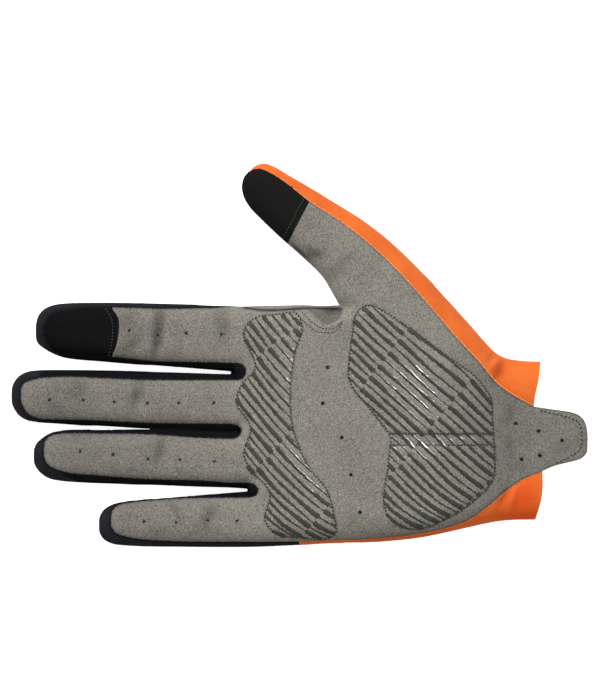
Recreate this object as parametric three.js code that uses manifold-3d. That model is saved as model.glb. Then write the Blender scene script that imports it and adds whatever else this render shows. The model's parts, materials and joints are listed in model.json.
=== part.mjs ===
// A full-finger cycling glove for the right hand, lying on its back with the palm up.
// Millimetres, +Z up. The fingers point to -X and the thumb to +Y. The origin is on the
// table, under the middle of the glove's plan.
//
// The glove is a hollow bag: an outer skin of tapered sleeves, less the same sleeves one
// wall thickness smaller. Cutting the bag along its seams gives the sewn panels.

import * as THREE from 'three';
import { mergeVertices } from 'three/addons/utils/BufferGeometryUtils.js';
import Module from 'manifold-3d';

const wasm = await Module();
wasm.setup();

// Driving dimensions

const WALL = 1.3; // fabric thickness
const SEAM_GAP = 0.3; // between neighbouring panels
const SIDE_LEVEL = 0.38; // height of the widest point of a sleeve, as a share of its height
const ROUND_SHARE = 0.46; // most of a sleeve's width that one rounded side may take
const END_SHARE = 1.5; // how much thicker the wall is at a closed end
const FINGER_ROUND = 8; // width of a finger's rounded side
const HAND_ROUND = 11; // width of the hand's rounded side
const PALM_SEAM_LEVEL = 6.2; // the palm fabric comes down to this level where it wraps a side
const GUSSET_LEVEL = 2; // and the gusset to this one
const FOURCHETTE_INSET = 3.2; // from a finger's side to the seam of its side strip
const FOURCHETTE_TIP = 7; // from a fingertip to the end of its side strip
const FOURCHETTE_ROOM = 0.7; // how far the side strip reaches past the palm fabric's edge
const CROTCH_DEPTH = 3.4; // length of the rounded end between two fingers
const CROTCH_HALF_WIDTH = 3.7; // and half its width
const PAD_THICKNESS = 1.6; // foam pads on the palm
const TAB_THICKNESS = 1.5;
const VENT_RADIUS = 0.55; // punched ventilation holes
const VENT_SIDES = 6;
const PAD_UNDER = 8; // the pads lie wholly above this level
const TOP = 40; // above everything
const UNDER = -5; // below everything
const BEYOND_TIPS = -130; // x past the fingertips
const BEYOND_CUFF = 130; // x past the pull tab
const ARC_STEPS = 4; // facets in a quarter of a sleeve's side
const INNER_ARC_STEPS = 2; // the same inside
const CURVE_STEP = 6; // aim for this length between the points of a smooth outline

// Tables. Plan points are in millimetres in the glove's frame.

// Each finger from its tip to its root: the plan places of its two sides, and its height.
const fingers = {
  index: [
    { x: -105.3, upper: 12.0, lower: 6.8, height: 7.6 },
    { x: -104.4, upper: 15.2, lower: 4.8, height: 8.4 },
    { x: -102.2, upper: 18.2, lower: 2.6, height: 9.2 },
    { x: -99.0, upper: 19.8, lower: 0.5, height: 10 },
    { x: -94.2, upper: 20.6, lower: -1.2, height: 10.6 },
    { x: -76.6, upper: 20.8, lower: -2.6, height: 11 },
    { x: -57.4, upper: 20.2, lower: -4.0, height: 11.4 },
    { x: -38.2, upper: 19.8, lower: -5.4, height: 12 },
    { x: -22.0, upper: 19.8, lower: -6.6, height: 12.8 },
    { x: -4.0, upper: 19.6, lower: -8.0, height: 13.2 },
  ],
  middle: [
    { x: -115.4, upper: -13.6, lower: -18.8, height: 7.6 },
    { x: -114.6, upper: -11.2, lower: -20.8, height: 8.4 },
    { x: -112.6, upper: -8.8, lower: -23.6, height: 9.2 },
    { x: -109.6, upper: -7.2, lower: -25.3, height: 10 },
    { x: -105.4, upper: -6.4, lower: -26.2, height: 10.6 },
    { x: -95.8, upper: -6.3, lower: -27.0, height: 11 },
    { x: -76.6, upper: -6.4, lower: -28.4, height: 11.2 },
    { x: -57.4, upper: -6.6, lower: -29.8, height: 11.6 },
    { x: -38.2, upper: -6.9, lower: -30.5, height: 12 },
    { x: -22.0, upper: -7.2, lower: -30.8, height: 12.8 },
    { x: -4.0, upper: -7.6, lower: -31.0, height: 13.2 },
  ],
  ring: [
    { x: -106.4, upper: -38.0, lower: -42.8, height: 7.4 },
    { x: -105.6, upper: -35.6, lower: -44.8, height: 8.2 },
    { x: -103.8, upper: -33.2, lower: -47.0, height: 9 },
    { x: -100.6, upper: -31.4, lower: -49.0, height: 9.8 },
    { x: -95.8, upper: -30.4, lower: -50.0, height: 10.4 },
    { x: -86.2, upper: -30.0, lower: -50.6, height: 10.8 },
    { x: -71.8, upper: -29.9, lower: -51.2, height: 11 },
    { x: -57.4, upper: -29.6, lower: -51.6, height: 11.4 },
    { x: -38.2, upper: -30.2, lower: -52.4, height: 12 },
    { x: -19.0, upper: -30.6, lower: -53.2, height: 12.8 },
    { x: -4.0, upper: -30.8, lower: -53.8, height: 13.2 },
  ],
  little: [
    { x: -80.4, upper: -65.6, lower: -70.4, height: 7 },
    { x: -79.4, upper: -63.4, lower: -72.4, height: 7.8 },
    { x: -77.6, upper: -61.4, lower: -74.0, height: 8.6 },
    { x: -74.6, upper: -59.5, lower: -75.1, height: 9.4 },
    { x: -70.2, upper: -58.4, lower: -75.6, height: 10 },
    { x: -62.2, upper: -57.5, lower: -76.0, height: 10.4 },
    { x: -47.8, upper: -56.2, lower: -76.3, height: 10.8 },
    { x: -33.4, upper: -55.0, lower: -76.6, height: 11.6 },
    { x: -16.0, upper: -54.2, lower: -76.2, height: 12.6 },
    { x: -2.0, upper: -53.8, lower: -75.6, height: 13 },
  ],
};

// The same fingers' palm fabric, which is narrower than the finger.
const fingerFronts = {
  index: [
    { x: -102.0, upper: 11.2, lower: 8.0 },
    { x: -100.6, upper: 14.4, lower: 4.4 },
    { x: -98.2, upper: 16.7, lower: 1.8 },
    { x: -91.0, upper: 18.2, lower: 0.6 },
    { x: -75.0, upper: 19.1, lower: -0.7 },
    { x: -57.4, upper: 18.8, lower: -2.5 },
    { x: -38.2, upper: 18.8, lower: -2.8 },
    { x: -12.0, upper: 18.6, lower: -3.2 },
  ],
  middle: [
    { x: -111.4, upper: -13.6, lower: -17.8 },
    { x: -110.6, upper: -11.8, lower: -20.4 },
    { x: -108.6, upper: -10.6, lower: -23.4 },
    { x: -104.6, upper: -9.4, lower: -25.4 },
    { x: -94.2, upper: -8.7, lower: -25.8 },
    { x: -79.8, upper: -9.2, lower: -26.2 },
    { x: -60.2, upper: -10.0, lower: -27.1 },
    { x: -12.0, upper: -10.0, lower: -27.5 },
  ],
  ring: [
    { x: -102.2, upper: -36.4, lower: -40.4 },
    { x: -101.6, upper: -34.2, lower: -42.2 },
    { x: -99.6, upper: -32.3, lower: -44.4 },
    { x: -93.4, upper: -31.3, lower: -46.8 },
    { x: -79.8, upper: -31.4, lower: -48.2 },
    { x: -60.2, upper: -31.7, lower: -49.6 },
    { x: -40.2, upper: -33.1, lower: -50.1 },
    { x: -12.0, upper: -33.5, lower: -51.0 },
  ],
  little: [
    { x: -75.4, upper: -64.8, lower: -68.0 },
    { x: -74.6, upper: -61.8, lower: -69.8 },
    { x: -72.4, upper: -60.1, lower: -71.6 },
    { x: -66.6, upper: -58.8, lower: -73.2 },
    { x: -60.2, upper: -58.2, lower: -73.9 },
    { x: -43.8, upper: -57.3, lower: -74.6 },
    { x: -6.0, upper: -57.0, lower: -74.6 },
  ],
};

// The thumb from tip to root, as pairs of opposite points on its two sides.
const thumb = [
  { outerX: -19.4, outerY: 74.7, innerX: -22.1, innerY: 71.6, height: 7.4 },
  { outerX: -17.4, outerY: 76.0, innerX: -23.0, innerY: 68.4, height: 8.4 },
  { outerX: -14.2, outerY: 76.6, innerX: -22.4, innerY: 64.0, height: 9.6 },
  { outerX: -10.2, outerY: 75.2, innerX: -19.8, innerY: 59.4, height: 10.6 },
  { outerX: -4.6, outerY: 71.9, innerX: -15.0, innerY: 54.8, height: 11.2 },
  { outerX: 5.0, outerY: 66.3, innerX: -7.0, innerY: 47.7, height: 11.8 },
  { outerX: 14.6, outerY: 60.4, innerX: 1.4, innerY: 40.0, height: 12.6 },
  { outerX: 24.2, outerY: 54.4, innerX: 9.0, innerY: 31.2, height: 13.6 },
  { outerX: 33.8, outerY: 47.2, innerX: 14.8, innerY: 22.0, height: 14.8 },
  { outerX: 43.4, outerY: 38.4, innerX: 20.0, innerY: 13.2, height: 15.6 },
  { outerX: 53.0, outerY: 28.4, innerX: 27.0, innerY: 4.0, height: 15.8 },
  { outerX: 62.6, outerY: 18.0, innerX: 38.0, innerY: -4.0, height: 15.4 },
];

// The hand from the knuckles to past the cuff, as pairs of points on the thumb side and
// the little finger's side. Between x 15 and 48 the thumb's sleeve makes the real edge.
const hand = [
  { thumbX: -29.0, thumbY: 19.4, littleX: -17.4, littleY: -76.0, height: 10.6 },
  { thumbX: -16.0, thumbY: 20.0, littleX: -8.6, littleY: -75.8, height: 13.6 },
  { thumbX: 0.2, thumbY: 20.2, littleX: 2.6, littleY: -75.1, height: 15.4 },
  { thumbX: 15.4, thumbY: 20.2, littleX: 15.4, littleY: -74.6, height: 15.8 },
  { thumbX: 24.2, thumbY: 28.0, littleX: 26.6, littleY: -74.1, height: 16 },
  { thumbX: 36.2, thumbY: 37.2, littleX: 37.0, littleY: -73.4, height: 16 },
  { thumbX: 48.2, thumbY: 33.2, littleX: 48.2, littleY: -72.3, height: 15.8 },
  { thumbX: 57.8, thumbY: 23.2, littleX: 57.8, littleY: -70.6, height: 15.4 },
  { thumbX: 67.4, thumbY: 12.8, littleX: 67.4, littleY: -68.4, height: 14.8 },
  { thumbX: 74.6, thumbY: 4.6, littleX: 74.6, littleY: -66.9, height: 14 },
  { thumbX: 78.6, thumbY: 0.6, littleX: 79.4, littleY: -66.3, height: 13.4 },
  { thumbX: 82.6, thumbY: -1.5, littleX: 83.4, littleY: -65.9, height: 12.8 },
  { thumbX: 88.2, thumbY: -2.5, littleX: 88.2, littleY: -65.7, height: 12.4 },
  { thumbX: 102.0, thumbY: -3.3, littleX: 102.0, littleY: -65.7, height: 12 },
];

// The cuff's cut end, from the thumb side to the little finger's side.
const cuffEnd = [
  [97.2, 4], [96.4, -3.1], [95.4, -10], [93.6, -20.6], [96.9, -46.4], [96.8, -56],
  [95.6, -61.5], [94.4, -65.8], [93.6, -70],
];

// Seams on the palm side. The thumb seam runs from the thumb's tip to the pull tab.
const thumbSeam = [
  [-20.2, 73.8], [-16, 74.6], [-7, 69.9], [3.4, 61.6], [14.6, 54.4], [24.2, 47.2],
  [33.8, 38.8], [48.2, 23.6], [62.6, 6.8], [72.2, -3.6], [78.6, -11.2], [85.8, -16.4],
  [93.6, -20.6],
];
const littleSeam = [
  [96.9, -46.4], [89, -49.6], [81.8, -54.6], [73.8, -61.4], [66.6, -66.3], [56.2, -70],
  [41.8, -72.7], [24.2, -74.1], [0.2, -74.6], [-16, -74.6],
];
const tabEdge = [
  [93.6, -20.6], [101, -21.6], [109, -23.1], [112.8, -25], [114.6, -28.4], [115.4, -34],
  [114.8, -38.6], [113.2, -41.2], [109.8, -42.6], [104.2, -43.6], [96.9, -46.4],
];
const gussetEdge = [
  [-22, 18.3], [-9.8, 18.1], [3, 18.2], [5.8, 15.6], [8.6, 13.4], [11.4, 12.4], [14.2, 13.2],
  [17.4, 16],
];
// Ends of the black U between two fingers: where the palm fabric starts.
const crotches = [
  { x: -21.3, y: -6.4, upper: -3.1, lower: -10 },
  { x: -23.3, y: -30.6, upper: -27.5, lower: -33.5 },
  { x: -16.4, y: -54.0, upper: -51, lower: -57 },
];

// The line on the back where the black finger backs end and the orange back begins.
const knuckleLine = [[-14, 30], [-12, 5], [-7, -30], [-2, -60], [1.4, -90]];
// Lines that part the finger backs, from the tips to the knuckles.
const fingerGaps = [
  [[BEYOND_TIPS, -2.6], [-95, -3.8], [-23, -7.0], [10, -8.2]],
  [[BEYOND_TIPS, -28.6], [-95, -28.7], [-60, -29.7], [-23, -30.6], [10, -31.2]],
  [[BEYOND_TIPS, -55], [-80, -54.8], [-20, -53.9], [10, -53.6]],
];

// The index finger's black patch ends at this line.
const indexPatchEnd = [[-75, 19.1], [-72.4, 14.8], [-72.2, 9.6], [-73.2, 3.6], [-75, -0.7]];
// The thumb's patch is the fabric inside this outline.
const thumbPatchRegion = [[7, 65.8], [-6, 41], [-35, 50], [-35, 85], [7, 85]];

// Outlines of the stitched pads.
const knucklePadEdge = [
  [-22.4, 9], [-18.6, 14.6], [-7.8, 16.6], [-1.6, 17], [1.4, 11.6], [-1.6, 1], [-3.4, -14],
  [-2.4, -29], [3.8, -44.4], [11, -53.6], [14, -64], [14.6, -71], [12, -73.2], [2.2, -73.4],
  [-9, -71.4], [-14, -66], [-12, -55], [-20, -45.6], [-22.4, -39], [-19.6, -29], [-25.4, -19],
  [-23, -11.4], [-17.8, -5.2],
];
const thumbPadEdge = [
  [28.6, 20], [34.6, 17.4], [41, 13.2], [51.4, 5.4], [61.8, -1.8], [69.8, -8], [74.6, -13.6],
  [76.6, -19.2], [77.4, -31], [35.6, -32], [30.6, -25], [23, -16], [19.8, -9.2], [19.4, -2],
  [20.6, 8.4], [22.6, 15.6], [25.4, 19.4],
];
const heelPadEdge = [
  [35.8, -35.2], [35, -46], [33.8, -55.6], [34.4, -63.6], [37, -67.4], [43.8, -69.6],
  [51.4, -68.4], [58.2, -65.6], [67.8, -59.2], [74.6, -53.6], [78, -49.4], [77.8, -42],
  [77.6, -35.4],
];

// Centres of the punched ventilation holes.
const vents = {
  index: [[-68, 9.8], [-56.6, 7.8], [-45.3, 8.6], [-31.2, 8.3]],
  middle: [[-99.9, -18], [-86.4, -18], [-74, -18.8], [-60.8, -19.3], [-48.2, -19.1], [-34.2, -19]],
  ring: [[-87.6, -38.5], [-74.5, -39.8], [-60.4, -41.5], [-47.7, -41.8], [-33.9, -42.5]],
  little: [[-62.1, -66.5], [-49.2, -66.9], [-36.6, -66], [-25, -66.2]],
  palm: [[11.4, -4.8], [9.2, -19.2], [16.9, -32.9], [20.4, -47.9], [24, -62.7]],
  heel: [[86.4, -27.4], [88.6, -41.7], [95.4, -30.4], [95.9, -40.1], [104.9, -34.1]],
};

// The sides that the pull tab's outline is cut from, and how the tab droops past the cuff:
// the level of its upper side.
const tabSides = { thumb: -15, little: -52 };
const tabRows = [
  { x: 91, level: 12 },
  { x: 97, level: 11.9 },
  { x: 103, level: 11.4 },
  { x: 109, level: 10.5 },
  { x: 117, level: 9 },
];

// Colours and finishes

const suede = new THREE.MeshStandardMaterial({ color: 0x857f77, roughness: 0.95, metalness: 0 });
const blackKnit = new THREE.MeshStandardMaterial({ color: 0x1b1c20, roughness: 0.85, metalness: 0 });
const orangeKnit = new THREE.MeshStandardMaterial({ color: 0xef6a28, roughness: 0.7, metalness: 0 });
const blackPatch = new THREE.MeshStandardMaterial({ color: 0x171717, roughness: 0.8, metalness: 0 });
const padPrint = new THREE.MeshStandardMaterial({ color: 0x6f6d64, roughness: 0.8, metalness: 0 });

// Solids from meshes and back

function solidFromGeometry(geometry) {
  const bare = geometry.clone();
  bare.deleteAttribute('normal');
  bare.deleteAttribute('uv');
  const merged = mergeVertices(bare, 1e-4);
  const mesh = new wasm.Mesh({
    numProp: 3,
    vertProperties: new Float32Array(merged.attributes.position.array),
    triVerts: new Uint32Array(merged.index.array),
  });
  return new wasm.Manifold(mesh);
}

function geometryFromSolid(solid) {
  const { vertProperties, triVerts } = solid.getMesh();
  const geometry = new THREE.BufferGeometry();
  geometry.setAttribute('position', new THREE.BufferAttribute(vertProperties, 3));
  geometry.setIndex(new THREE.BufferAttribute(triVerts, 1));
  geometry.computeVertexNormals();
  return geometry;
}

function union(solids) {
  return solids.reduce((all, next) => all.add(next));
}

// Sleeves

// The loop of points around a sleeve where its two sides are at plan points a and b.
// The underside is flat on the table. shrink moves the whole loop inwards.
function sleeveLoop(a, b, height, round, shrink) {
  const arcSteps = shrink === 0 ? ARC_STEPS : INNER_ARC_STEPS;
  const whole = Math.hypot(b[0] - a[0], b[1] - a[1]);
  const along = [(b[0] - a[0]) / whole, (b[1] - a[1]) / whole];
  const width = whole - 2 * shrink;
  const sideWidth = Math.min(round - shrink, width * ROUND_SHARE);
  const sideLevel = SIDE_LEVEL * height;
  const top = height - shrink;
  const bottom = shrink;
  const place = (across, level) => {
    const distance = shrink + across;
    return [a[0] + along[0] * distance, a[1] + along[1] * distance, level];
  };
  const arc = (step) => {
    const angle = (step / arcSteps) * (Math.PI / 2);
    return { across: sideWidth * (1 - Math.cos(angle)), lift: Math.sin(angle) };
  };
  const loop = [];
  for (let step = 0; step <= arcSteps; step++) {
    const { across, lift } = arc(step);
    loop.push(place(across, sideLevel + (top - sideLevel) * lift));
  }
  for (let step = arcSteps; step >= 0; step--) {
    const { across, lift } = arc(step);
    loop.push(place(width - across, sideLevel + (top - sideLevel) * lift));
  }
  for (let step = 1; step <= arcSteps; step++) {
    const { across, lift } = arc(step);
    loop.push(place(width - across, sideLevel - (sideLevel - bottom) * lift));
  }
  for (let step = arcSteps; step >= 1; step--) {
    const { across, lift } = arc(step);
    loop.push(place(across, sideLevel - (sideLevel - bottom) * lift));
  }
  return loop;
}

// A closed skin through loops that all have the same number of points.
function loft(loops) {
  const count = loops[0].length;
  const positions = loops.flat(2);
  const index = [];
  for (let row = 0; row + 1 < loops.length; row++) {
    for (let k = 0; k < count; k++) {
      const next = (k + 1) % count;
      const [a, b] = [row * count + k, row * count + next];
      const [c, d] = [a + count, b + count];
      index.push(a, b, d, a, d, c);
    }
  }
  const last = (loops.length - 1) * count;
  for (let k = 1; k + 1 < count; k++) {
    index.push(0, k + 1, k);
    index.push(last, last + k, last + k + 1);
  }
  const geometry = new THREE.BufferGeometry();
  geometry.setAttribute('position', new THREE.Float32BufferAttribute(positions, 3));
  geometry.setIndex(index);
  if (signedVolume(geometry) < 0) geometry.setIndex(index.reverse());
  return solidFromGeometry(geometry);
}

function signedVolume(geometry) {
  const { position } = geometry.attributes;
  const order = geometry.index.array;
  const [a, b, c] = [new THREE.Vector3(), new THREE.Vector3(), new THREE.Vector3()];
  let volume = 0;
  for (let k = 0; k < order.length; k += 3) {
    a.fromBufferAttribute(position, order[k]);
    b.fromBufferAttribute(position, order[k + 1]);
    c.fromBufferAttribute(position, order[k + 2]);
    volume += a.dot(b.cross(c)) / 6;
  }
  return volume;
}

// The place on the rows at a distance from their closed end, measured on the first side.
function rowAt(rows, distance) {
  let gone = 0;
  for (let k = 0; k + 1 < rows.length; k++) {
    const [from, to] = [rows[k], rows[k + 1]];
    const step = Math.hypot(to.sides[0][0] - from.sides[0][0], to.sides[0][1] - from.sides[0][1]);
    if (gone + step > distance) {
      const share = (distance - gone) / step;
      const mix = (u, v) => u + (v - u) * share;
      const sides = from.sides.map((side, n) => side.map((value, axis) => mix(value, to.sides[n][axis])));
      return { row: { sides, height: mix(from.height, to.height) }, next: k + 1 };
    }
    gone += step;
  }
  return { row: rows.at(-1), next: rows.length };
}

// A sleeve from rows of { sides: [a, b], height }. An inner sleeve starts further from the
// closed end by the thickness of the wall there.
function sleeve(rows, round, shrink = 0, raise = 0) {
  const { row, next } = rowAt(rows, shrink * END_SHARE);
  const kept = shrink === 0 ? rows : [row, ...rows.slice(next)];
  return loft(kept.map(({ sides, height }) => sleeveLoop(...sides, height + raise, round, shrink)));
}

const fingerRows = (table) =>
  table.map(({ x, upper, lower, height }) => ({ sides: [[x, upper], [x, lower]], height }));
const thumbRows = thumb.map(({ outerX, outerY, innerX, innerY, height }) => ({
  sides: [[outerX, outerY], [innerX, innerY]],
  height,
}));
const handRows = hand.map(({ thumbX, thumbY, littleX, littleY, height }) => ({
  sides: [[thumbX, thumbY], [littleX, littleY]],
  height,
}));

function bag(shrink, raise = 0) {
  // An inner finger runs on into the hand, so that its root is open.
  return union([
    sleeve(handRows, HAND_ROUND, shrink, raise),
    sleeve(thumbRows, FINGER_ROUND, shrink, raise),
    ...Object.values(fingers).map((table) => sleeve(fingerRows(table), FINGER_ROUND, shrink, raise)),
  ]);
}

// Outlines and prisms

function smoothLine(points) {
  const curve = new THREE.SplineCurve(points.map(([x, y]) => new THREE.Vector2(x, y)));
  const count = Math.max(points.length - 1, Math.round(curve.getLength() / CURVE_STEP));
  return curve.getPoints(count).map(({ x, y }) => [x, y]);
}

function smoothLoop(points) {
  const line = smoothLine([...points, points[0]]);
  return line.slice(0, -1);
}

// Moves every side of a closed outline outwards by the given distance.
function grown(outline, distance) {
  if (distance === 0) return outline;
  const points = outline.map(([x, y]) => new THREE.Vector2(x, y));
  const turn = THREE.ShapeUtils.area(points) > 0 ? 1 : -1;
  const outward = (from, to) => {
    const side = to.clone().sub(from).normalize();
    return new THREE.Vector2(side.y * turn, -side.x * turn);
  };
  return points.map((point, k) => {
    const before = outward(points.at(k - 1), point);
    const after = outward(point, points[(k + 1) % points.length]);
    const middle = before.clone().add(after).normalize();
    const reach = distance / Math.max(0.5, middle.dot(before));
    return [point.x + middle.x * reach, point.y + middle.y * reach];
  });
}

function prism(outline, low, high, grow = 0) {
  const shape = new THREE.Shape(grown(outline, grow).map(([x, y]) => new THREE.Vector2(x, y)));
  const geometry = new THREE.ExtrudeGeometry(shape, { depth: high - low, bevelEnabled: false });
  geometry.translate(0, 0, low);
  return solidFromGeometry(geometry);
}

function stripOutline(rows) {
  const upper = smoothLine(rows.map(({ x, upper }) => [x, upper]));
  const lower = smoothLine(rows.map(({ x, lower }) => [x, lower]));
  return [...upper, ...lower.reverse()];
}

// The palm fabric's outline over the hand and thumb, with a rounded end to each gap
// between fingers. It runs on past the cuff's cut end and the thumb's inner side.
function palmOutline() {
  const gapEnds = [...crotches].reverse().flatMap(({ x, y, upper, lower }) => [
    [x - CROTCH_DEPTH, lower],
    [x - CROTCH_DEPTH / 3, lower + CROTCH_DEPTH / 4],
    [x, y],
    [x - CROTCH_DEPTH / 3, upper - CROTCH_DEPTH / 4],
    [x - CROTCH_DEPTH, upper],
  ]);
  return [
    ...smoothLine(thumbSeam),
    [100, -21.5],
    [100, -46],
    ...smoothLine(littleSeam),
    ...gapEnds,
    [-12, -3.2],
    [-12, 18.6],
    [12, 24],
    [-32, 62],
    [-30, 75],
  ];
}

const tabOutline = [...smoothLine(tabEdge), [88, -46], [88, -22]];

function gussetOutline() {
  return [...smoothLine(gussetEdge), [16.4, 22], [-22, 22]];
}

// The index finger's patch takes the end of the fabric beyond its line.
function indexPatchRegion() {
  return [...smoothLine(indexPatchEnd), [BEYOND_TIPS, -5], [BEYOND_TIPS, 30], [-75, 30]];
}

// The strip between two fingers, from inside one finger's side to inside the other's.
function fourchetteOutline(upperFinger, lowerFinger, crotch) {
  const inReach = (finger) => {
    const start = fingers[finger][0].x + FOURCHETTE_TIP;
    return fingers[finger].filter(({ x }) => x > start && x < crotch.x - 2 * CROTCH_DEPTH);
  };
  const upperSide = inReach(upperFinger).map(({ x, lower }) => [x, lower + FOURCHETTE_INSET]);
  const lowerSide = inReach(lowerFinger).map(({ x, upper }) => [x, upper - FOURCHETTE_INSET]);
  const end = [-1, -0.6, 0, 0.6, 1].map((share) => [
    crotch.x + FOURCHETTE_ROOM - CROTCH_DEPTH * share ** 2,
    crotch.y - CROTCH_HALF_WIDTH * share,
  ]);
  return [...upperSide, ...end, ...lowerSide.reverse()];
}

// Sewn panels

const outerBag = bag(0);
const cuffOutline = [...smoothLine(cuffEnd), [BEYOND_CUFF, -75], [BEYOND_CUFF, 8]];
const cuffCut = prism(cuffOutline, UNDER, TOP);
const fabric = outerBag.subtract(bag(WALL)).subtract(cuffCut);

const palmOutlines = [palmOutline(), ...Object.values(fingerFronts).map(stripOutline)];
const palmPrism = (grow) =>
  union(palmOutlines.map((outline) => prism(outline, PALM_SEAM_LEVEL - grow, TOP, grow)));
const patchRegions = { index: indexPatchRegion(), thumb: thumbPatchRegion };
const patchPrism = (name, grow) => prism(patchRegions[name], UNDER, TOP, grow);
const gussetPrism = (grow) => prism(gussetOutline(), GUSSET_LEVEL - grow, TOP, grow);

function ventPins() {
  return union(
    Object.values(vents)
      .flat()
      .map(([x, y]) => {
        const pin = new THREE.CylinderGeometry(VENT_RADIUS, VENT_RADIUS, TOP, VENT_SIDES);
        pin.rotateX(Math.PI / 2);
        pin.translate(x, y, PALM_SEAM_LEVEL + TOP / 2);
        return solidFromGeometry(pin);
      }),
  );
}

function pullTab() {
  const loops = tabRows.map(({ x, level }) => [
    [x, tabSides.thumb, level - TAB_THICKNESS],
    [x, tabSides.little, level - TAB_THICKNESS],
    [x, tabSides.little, level],
    [x, tabSides.thumb, level],
  ]);
  return loft(loops).intersect(prism(tabOutline, UNDER, TOP));
}

const palmSide = fabric.intersect(palmPrism(0)).subtract(gussetPrism(SEAM_GAP));
const palmPanel = palmSide
  .subtract(patchPrism('index', SEAM_GAP))
  .subtract(patchPrism('thumb', SEAM_GAP))
  .add(pullTab())
  .subtract(ventPins());

const gusset = fabric.intersect(gussetPrism(0));

// What is left when the palm side is taken away: backs and side strips.
const backs = fabric.subtract(palmPrism(SEAM_GAP)).subtract(gussetPrism(SEAM_GAP));

const fourchettePairs = [
  ['index', 'middle'],
  ['middle', 'ring'],
  ['ring', 'little'],
];
const fourchettePrism = (pair, grow) => {
  const outline = fourchetteOutline(...fourchettePairs[pair], crotches[pair]);
  return prism(outline, UNDER, TOP, grow);
};
const allFourchettes = union(fourchettePairs.map((_, pair) => fourchettePrism(pair, SEAM_GAP)));

const fingerSideOutline = [[BEYOND_TIPS, 30], ...smoothLine(knuckleLine), [BEYOND_TIPS, -90]];
const fingerSide = (grow) => prism(fingerSideOutline, UNDER, TOP, grow);

// Each finger's back lies between two of these lines.
const rowLimits = [
  [[BEYOND_TIPS, 30], [10, 30]],
  ...fingerGaps,
  [[BEYOND_TIPS, -85], [10, -85]],
];
function fingerBack(row) {
  const outline = [...rowLimits[row], ...[...rowLimits[row + 1]].reverse()];
  return backs
    .intersect(prism(outline, UNDER, TOP, -SEAM_GAP / 2))
    .intersect(fingerSide(-SEAM_GAP / 2))
    .subtract(allFourchettes);
}

const handBack = backs.subtract(fingerSide(SEAM_GAP / 2)).subtract(allFourchettes);

// Foam pads lie on the palm fabric, just clear of it.
function pad(edge) {
  const cover = bag(0, SEAM_GAP + PAD_THICKNESS).subtract(bag(0, SEAM_GAP));
  return cover.intersect(prism(smoothLoop(edge), PAD_UNDER, TOP));
}

// The glove

const glove = new THREE.Group();

function addPanel(name, solid, material) {
  const mesh = new THREE.Mesh(geometryFromSolid(solid), material);
  mesh.name = name;
  glove.add(mesh);
}

addPanel('palm_panel', palmPanel, suede);
addPanel('thumb_gusset', gusset, suede);
addPanel('hand_back', handBack, orangeKnit);
addPanel('index_touch_patch', palmSide.intersect(patchPrism('index', 0)), blackPatch);
addPanel('thumb_touch_patch', palmSide.intersect(patchPrism('thumb', 0)), blackPatch);
Object.keys(fingers).forEach((finger, row) => addPanel(`${finger}_back`, fingerBack(row), blackKnit));
fourchettePairs.forEach(([upper, lower], pair) => {
  addPanel(`fourchette_${upper}_${lower}`, backs.intersect(fourchettePrism(pair, 0)), blackKnit);
});
addPanel('knuckle_pad', pad(knucklePadEdge), padPrint);
addPanel('thumb_pad', pad(thumbPadEdge), padPrint);
addPanel('heel_pad', pad(heelPadEdge), padPrint);

export default glove;
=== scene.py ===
import json
import math

import bpy
import numpy as np
from mathutils import Matrix, Vector, noise
from mathutils.bvhtree import BVHTree
from mathutils.kdtree import KDTree

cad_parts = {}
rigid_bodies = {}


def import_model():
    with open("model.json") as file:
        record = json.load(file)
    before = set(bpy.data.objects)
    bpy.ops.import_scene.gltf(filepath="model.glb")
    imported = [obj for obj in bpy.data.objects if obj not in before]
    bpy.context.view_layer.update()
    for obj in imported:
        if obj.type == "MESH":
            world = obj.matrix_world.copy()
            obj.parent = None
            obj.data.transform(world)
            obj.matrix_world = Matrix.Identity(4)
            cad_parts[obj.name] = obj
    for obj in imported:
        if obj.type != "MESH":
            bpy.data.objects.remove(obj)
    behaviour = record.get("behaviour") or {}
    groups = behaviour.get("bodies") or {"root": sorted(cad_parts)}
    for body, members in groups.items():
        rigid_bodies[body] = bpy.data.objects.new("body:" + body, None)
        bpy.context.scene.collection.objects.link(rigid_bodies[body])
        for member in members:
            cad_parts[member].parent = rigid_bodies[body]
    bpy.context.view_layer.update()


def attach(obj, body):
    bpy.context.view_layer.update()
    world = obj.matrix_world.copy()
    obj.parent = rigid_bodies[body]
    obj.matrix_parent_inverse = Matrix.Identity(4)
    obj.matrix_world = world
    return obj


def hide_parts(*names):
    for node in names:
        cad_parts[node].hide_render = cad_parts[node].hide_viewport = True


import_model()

# A full-finger cycling glove, palm up. Tables are in millimetres in the frame of the
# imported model: fingers to -X, thumb to +Y, the table at z = 0.
mm = 0.001


# Everyday helpers

def only(obj):
    bpy.ops.object.select_all(action="DESELECT")
    obj.select_set(True)
    bpy.context.view_layer.objects.active = obj
    return obj


def copyOf(obj, name):
    twin = obj.copy()
    twin.data = obj.data.copy()
    twin.name = name
    bpy.context.scene.collection.objects.link(twin)
    return twin


def joined(name, parts):
    bpy.ops.object.select_all(action="DESELECT")
    for part in parts:
        part.select_set(True)
    bpy.context.view_layer.objects.active = parts[0]
    bpy.ops.object.join()
    parts[0].name = name
    return parts[0]


def modified(obj, kind, **settings):
    only(obj)
    modifier = obj.modifiers.new("step", kind)
    for key, value in settings.items():
        setattr(modifier, key, value)
    bpy.ops.object.modifier_apply(modifier=modifier.name)
    return obj


def cut(obj, operation, *tools):
    for tool in tools:
        modified(obj, "BOOLEAN", operation=operation, object=tool, solver="MANIFOLD")
    return obj


def keepInside(obj, *cutters):
    return cut(obj, "INTERSECT", *cutters)


def takeAway(obj, *cutters):
    return cut(obj, "DIFFERENCE", *cutters)


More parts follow.
